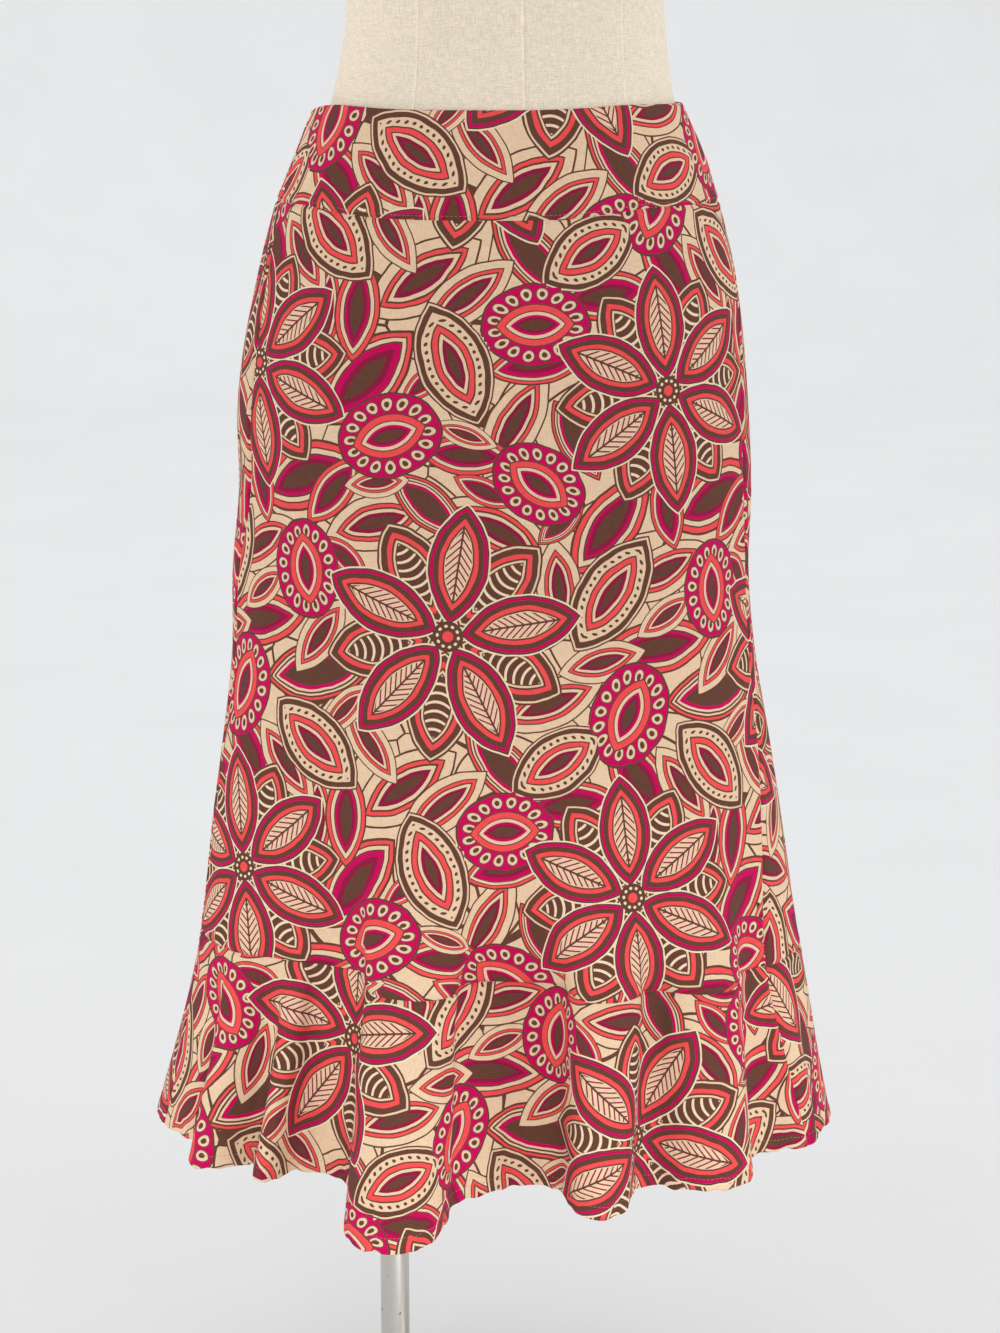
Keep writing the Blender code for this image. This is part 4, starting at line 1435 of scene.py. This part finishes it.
def seam_bow(angle, height):
    """How far the form's lengthwise seams swing outwards above the waist, in radians."""
    swing = np.sin((height - 1100.0) / 110.0)
    return np.radians(4.0) * swing * np.sin(2 * (angle - np.radians(SEAM_ANGLES[0])))


def cover_torso():
    """The torso's grid: the ovals of its levels, moved along their normals by the seams, and
    how much painted highlight each point gets: 1 on a seam's ridge, where the linen is coloured
    paler as if the ridge caught the light. The columns follow the seams and lie closer together
    beside them."""
    close = np.radians([0.0, 0.25, 0.5, 0.85, 1.4, 2.2])
    close = np.concatenate([-close[:0:-1], close])
    seams = wrapped(np.radians(SEAM_ANGLES))
    even = np.linspace(-np.pi, np.pi, TORSO_COLUMNS, endpoint=False)
    gap = np.abs(wrapped(even[:, None] - seams)).min(axis=1)
    column = np.concatenate([even[gap > close[-1] * 1.3], (seams[:, None] + close).ravel()])
    column = np.sort(wrapped(column))[None, :]
    height = np.linspace(FORM_BOTTOM, FORM_TOP, TORSO_ROWS)[:, None]
    angle = column + seam_bow(column, height)
    x, y, across, along = oval(FORM, angle, height)
    stride = np.hypot(across * np.cos(angle), along * np.sin(angle))
    edges = [sewn_edge(height - NECK_SEAM, 2 * SEAM_WIDTH)]
    edges += [sewn_edge(wrapped(column - seam) * stride, SEAM_WIDTH) for seam in seams]
    for side in ARMHOLE_SIDES:
        off = wrapped(angle - np.radians(side)) * stride
        ring = np.hypot(off / ARMHOLE[1], (height - ARMHOLE[0]) / ARMHOLE[2])
        edges.append(sewn_edge((ring - 1) * ARMHOLE[1], 2 * SEAM_WIDTH))
    lift = 0.25 * np.sin(3 * angle + height / 80) + 0.2 * np.sin(5 * angle - height / 55)
    lift = lift + sum(rise for rise, _ in edges)
    # Painted highlight: 1 on each seam's ridge, where the linen is later coloured paler as if lit.
    ridge_highlight = np.clip(sum(ridge for _, ridge in edges), 0.0, 1.0)
    normal = unit(np.stack([along * np.sin(angle), -across * np.cos(angle), 0 * x], axis=-1))
    points = np.stack([x, y, np.broadcast_to(height, x.shape)], axis=-1)
    return points + normal * lift[..., None], ridge_highlight


# %% [markdown]
# ### Linen and board
#
# The cover's weave is coarse enough to see, and its seams' ridges get a painted highlight:
# they are coloured paler, as if they caught the light. The plate under the hips and the cap on
# the neck are plain board.


# %% What the form is made of
def linen_cover():
    """Unbleached linen: two sets of uneven threads cross, and the seams' ridges get a painted
    highlight: they are coloured paler, as if they caught the light.
    """
    made, tree, shader = new_material(
        "form_linen_cover", Roughness=0.9, Sheen_Weight=0.15, Specular_IOR_Level=0.25
    )
    where = in_piece(tree)
    threads = noise(tree, where, (190, 190, 1800)) + noise(tree, where, (1600, 1600, 140))
    cloud = noise(tree, where, 9.0, 3.0)
    ridge_highlight = Wire(tree, attribute(tree, "ridge_highlight", "Fac"))
    # The last term is a painted highlight: the linen is coloured paler on seam ridges, where they
    # catch the light.
    fleck = (threads - 1.0) * 0.50 + (cloud - 0.5) * 0.12 + 1.0 + ridge_highlight * 0.12
    colour = tinted(tree, ink(0.87, 0.82, 0.74)[:3], fleck)
    plug_in(tree, shader, Base_Color=colour, Normal=bumped(tree, 0.35, 0.0005, threads))
    return made


def pale_board():
    """Sanded wood: growth rings seen as long wavy bands, and fine pores along them."""
    made, tree, shader = new_material("form_board", Roughness=0.55)
    where = in_piece(tree)
    grain = node(
        tree, "ShaderNodeTexWave", {"wave_type": "RINGS"},
        Vector=stretched(tree, where, (9, 46, 46)), Scale=1.0, Distortion=2.5, Detail=3.0,
    )
    tone = over(tree, ink(0.80, 0.68, 0.52), ink(0.70, 0.57, 0.41), grain.outputs["Fac"])
    pores = noise(tree, where, (60, 900, 900))
    plug_in(tree, shader, Base_Color=tone, Normal=bumped(tree, 0.2, 0.0003, pores))
    return made


linen = linen_cover()
board = pale_board()

# %% Cover the torso
torso_rings, torso_ridge_highlight = cover_torso()
# Seam ridges carry a painted highlight, which the linen material turns into a paler colour.
torso = capped_tube("torso_cover", torso_rings, linen, sharp=60.0, ridge_highlight=torso_ridge_highlight)
dress(torso, "form_torso")


# %% [markdown]
# ### Round edges
#
# A board and a turned part have the same profile: a quarter circle, a straight side and a
# quarter circle. Following an outline it makes a board, and round an axis a turned part.


# %% Boards of the form
def rounded_profile(radius, low, high, bevel, steps=6):
    """Radius and height up a side: radius - bevel (1 - sin), low + bevel (1 - cos), and back."""
    turn = np.linspace(0.0, 0.5 * np.pi, steps)
    side, rise = radius - bevel * (1 - np.sin(turn)), bevel * (1 - np.cos(turn))
    foot, head = np.stack([side, low + rise], -1), np.stack([side, high - rise], -1)
    return np.concatenate([foot, head[::-1]])


def board_slab(name, node_name, level, inset, low, high, bevel):
    """A flat board with the level's outline drawn in, and rounded edges."""
    angle = np.linspace(-np.pi, np.pi, BOARD_SIDES, endpoint=False)
    x, y, _, _ = oval(FORM, angle, level.height)
    length = np.hypot(x, y)
    rings = [
        np.stack([x * (1 + cut / length), y * (1 + cut / length), np.full_like(x, z)], -1)
        for cut, z in rounded_profile(-inset, low, high, bevel, steps=5)
    ]
    dress(capped_tube(name, np.stack(rings), board, sharp=50.0), node_name)


CLEARANCE = 0.3
PLATE_TOP = FORM_BOTTOM - CLEARANCE
PLATE_BOTTOM = PLATE_TOP - 10.0
CAP_BOTTOM = FORM_TOP + CLEARANCE
board_slab("base_plate_board", "form_base_plate", FORM[0], 6.0, PLATE_BOTTOM, PLATE_TOP, 1.5)
board_slab("neck_cap_board", "form_neck_cap", FORM[-1], 2.0, CAP_BOTTOM, CAP_BOTTOM + 12.0, 3.0)

# %% [markdown]
# ## The stand
#
# The pole, its foot collar and socket and the round base are turned steel with a satin finish.
# Each is a profile carried round an axis: the pole's axis stands off the middle of the base.


# %% Satin steel
def satin_steel():
    """Ground stainless steel: fine scratches run round the axis and soften the highlights, and
    a few specks of dirt lie where a smooth noise passes a limit."""
    made, tree, shader = new_material("satin_steel", Metallic=1.0)
    where = in_piece(tree)
    scratches = noise(tree, where, (40, 40, 3200))
    greys = ((0.30, ink(0.75, 0.735, 0.705)), (0.62, ink(0.80, 0.785, 0.76)))
    tone = bands(tree, noise(tree, where, 24.0, 4.0), greys, smooth=True)
    speck = noise(tree, where, 170.0, 1.0) > 0.735
    colour = over(tree, tone, ink(0.52, 0.50, 0.48), speck)
    normal = bumped(tree, 0.10, 0.0002, scratches)
    plug_in(tree, shader, Base_Color=colour, Roughness=scratches * 0.14 + 0.26, Normal=normal)
    return made


# %% Turned parts
def carried_round(profile, centre, sides):
    """Rings of points: each radius and height of the profile, all the way round the axis."""
    turn = np.linspace(0.0, FULL_TURN, sides, endpoint=False)
    x = profile[:, :1] * np.cos(turn) + centre[0]
    y = profile[:, :1] * np.sin(turn) + centre[1]
    return np.stack([x, y, np.broadcast_to(profile[:, 1:], x.shape)], -1)


def turned_bar(name, node_name, profile, centre, sides):
    """The profile carried round a vertical axis, its ends closed."""
    made = capped_tube(name, carried_round(profile, centre, sides), steel, sharp=50.0)
    dress(made, node_name)
    return made


def turned_collar(name, node_name, outside, low, high, bevel):
    """A ring round the pole: a bore, and an outside with rounded edges, carried round."""
    wall = rounded_profile(outside, low, high, bevel)
    section = np.concatenate([wall, [(COLLAR_BORE, high), (COLLAR_BORE, low)]])
    rings = carried_round(section, POLE, POLE_SIDES)
    faces = tube_quads(*rings.shape[:2], joined=True)
    made = put_mesh(name, rings * MM, faces, (steel,), sharp=50.0)
    dress(made, node_name)
    return made


# %% The stand, in millimetres
POLE = (-77.0, 0.0)
POLE_RADIUS = 10.5
POLE_SIDES = 72
COLLAR_BORE = 10.8
DISC_RADIUS = 170.0
DISC_TOP = 8.0
DISC_SIDES = 192
steel = satin_steel()
foot, socket_top = DISC_TOP + CLEARANCE, PLATE_BOTTOM - CLEARANCE
pole = rounded_profile(POLE_RADIUS, foot, socket_top, 0.6)
disc = rounded_profile(DISC_RADIUS, 0.0, DISC_TOP, 1.8)
steel_pieces = [
    turned_bar("pole_tube", "pole", pole, POLE, POLE_SIDES),
    turned_bar("stand_disc", "stand_base", disc, (0.0, 0.0), DISC_SIDES),
    turned_collar("foot_collar", "pole_foot", 19.8, foot, foot + 26.0, 2.0),
    turned_collar("socket_collar", "pole_socket", 17.3, socket_top - 38.0, socket_top, 1.2),
]

# %% [markdown]
# ## The zip's slider and pull
#
# The frame's own slider and pull tab have the right shape, so they stay and only get a finish:
# brown enamel over metal, with a little unevenness in its colour and gloss.


# %% Enamel for the zip
def zip_enamel():
    """Enamel with fine unevenness in its gloss and colour."""
    made, tree, shader = new_material("zip_enamel", Specular_IOR_Level=0.6)
    spots = noise(tree, in_piece(tree), 700.0)
    browns = ((0.40, ink(0.36, 0.22, 0.175)), (0.80, ink(0.44, 0.29, 0.235)))
    tone = bands(tree, spots, browns, smooth=True)
    plug_in(tree, shader, Base_Color=tone, Roughness=spots * 0.15 + 0.18)
    return made


enamel = zip_enamel()
for node_name in ("zip_slider", "zip_pull"):
    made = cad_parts[node_name]
    made.data.materials.clear()
    made.data.materials.append(enamel)

# %% [markdown]
# ## The floor
#
# The floor is plain and pale and curves up far outside, like a shallow bowl, so no line parts
# it from the air behind.

# %% Floor, in metres
BOWL = (6.5, 1.4, 2.6)
BOWL_SIDES = 96


def studio_floor():
    """A profile carried round the middle: flat to the bend, a quarter circle up, and a rim."""
    flat_to, bend, rim = BOWL
    turn = np.linspace(0.0, 0.5 * np.pi, 20)
    radius = np.concatenate([[0.0, 0.8, 3.0], flat_to + bend * np.sin(turn), [flat_to + bend]])
    height = np.concatenate([[0.0, 0.0, 0.0], bend * (1 - np.cos(turn)), [rim]])
    points = carried_round(np.stack([radius, height], -1), (0.0, 0.0), BOWL_SIDES)
    made, tree, shader = new_material("studio_paper", Roughness=0.95, Specular_IOR_Level=0.1)
    pale = ((0.3, ink(0.97, 0.97, 0.97)), (0.7, ink(0.98, 0.98, 0.98)))
    tone = bands(tree, noise(tree, in_piece(tree), 3.0), pale, smooth=True)
    plug_in(tree, shader, Base_Color=tone)
    floor = put_mesh("studio_floor", points, tube_quads(*points.shape[:2])[:, ::-1], (made,))
    weld(floor)
    floor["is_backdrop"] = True
    return floor


# %% [markdown]
# ## The lights
#
# Two large soft lamps stand at the sides and the air itself is bright, so folds show by their
# sides and hollows and hardly by shadows. The side lamps leave out the floor, where they would
# burn a white patch. A low lamp brightens the hem, and a small one lights the steel alone.


# %% A soft lamp
def soft_light(name, place, aim, size, power, colour, spread, lit=None):
    """A large flat lamp at a place, turned towards its aim, its beam as wide as the spread. It
    lights everything, or only what the collection lit says."""
    light = bpy.data.lights.new(name, "AREA")
    light.shape = "RECTANGLE"
    light.size, light.size_y = size
    light.energy = power
    light.color = colour
    light.spread = math.radians(spread)
    made = bpy.data.objects.new(name, light)
    made.visible_camera = False
    made.light_linking.receiver_collection = lit
    made.location = place
    way = np.array(aim) - np.array(place)
    yaw = math.atan2(way[0], way[1])
    pitch = math.atan2(way[2], math.hypot(way[0], way[1]))
    made.rotation_euler = (math.pi / 2 + pitch, 0.0, -yaw)
    bpy.context.scene.collection.objects.link(made)


# %% What each lamp lights, and the lamps
not_the_floor = bpy.data.collections.new("not_the_floor")
not_the_floor.objects.link(studio_floor())
not_the_floor.collection_objects[0].light_linking.link_state = "EXCLUDE"
steel_only = bpy.data.collections.new("steel_only")
for piece in steel_pieces:
    steel_only.objects.link(piece)

WARM, WARMER, COOL, WHITE = (1.0, 0.99, 0.975), (1.0, 0.99, 0.97), (0.985, 0.99, 1.0), (1, 1, 1)
WIDE, NARROW, ALL_ROUND = 130.0, 26.0, 180.0
hips, window = (0, 0, 0.5), (3.4, 3.0)
soft_light("left_window", (-6.0, -2.3, 1.75), hips, window, 72.0, WARM, WIDE, not_the_floor)
soft_light("right_window", (6.0, -2.4, 1.75), hips, window, 73.0, COOL, WIDE, not_the_floor)
soft_light("hem_lamp", (0.4, -3.0, 0.30), (0, 0, 0.10), (1.4, 0.4), 1.5, WHITE, NARROW)
below, up = (0.13, -0.44, 0.02), (0.13, -0.44, 1.0)
soft_light("pole_lamp", below, up, (0.14, 0.5), 0.35, WARMER, ALL_ROUND, steel_only)

# %% The bright air
world = bpy.data.worlds.new("studio_air")
world.use_nodes = True
air = world.node_tree.nodes["Background"]
air.inputs["Color"].default_value = (0.93, 0.94, 0.95, 1)
air.inputs["Strength"].default_value = 0.93
bpy.context.scene.world = world
bpy.context.scene.view_settings.view_transform = "Standard"
bpy.context.scene.view_settings.look = "None"

# %% [markdown]
# ## The camera
#
# The camera stands a little above the waist and looks down at the hem. Its focal length is
# given in the picture's own pixels and turned into millimetres on a 36 mm sensor.

# %% Camera
SENSOR = 36.0
PICTURE_HEIGHT = 1333.0
FOCAL_PIXELS = 2857.0
camera = bpy.data.cameras.new("camera")
camera.sensor_fit = "VERTICAL"
camera.sensor_height = SENSOR
camera.lens = SENSOR * FOCAL_PIXELS / PICTURE_HEIGHT
holder = bpy.data.objects.new("camera", camera)
holder.location = (0.0, -1.95, 1.041)
holder.rotation_euler = (math.pi / 2 - math.radians(12.37), 0.0, 0.0)
bpy.context.scene.collection.objects.link(holder)
bpy.context.scene.camera = holder

# %% Sizes and finish
sizes = {"cad": cad_box, "visual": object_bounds()}
sizes = {name: [list(map(float, corner)) for corner in box] for name, box in sizes.items()}
for name, box in sizes.items():
    print(name, "box", [[round(value, 4) for value in corner] for corner in box])
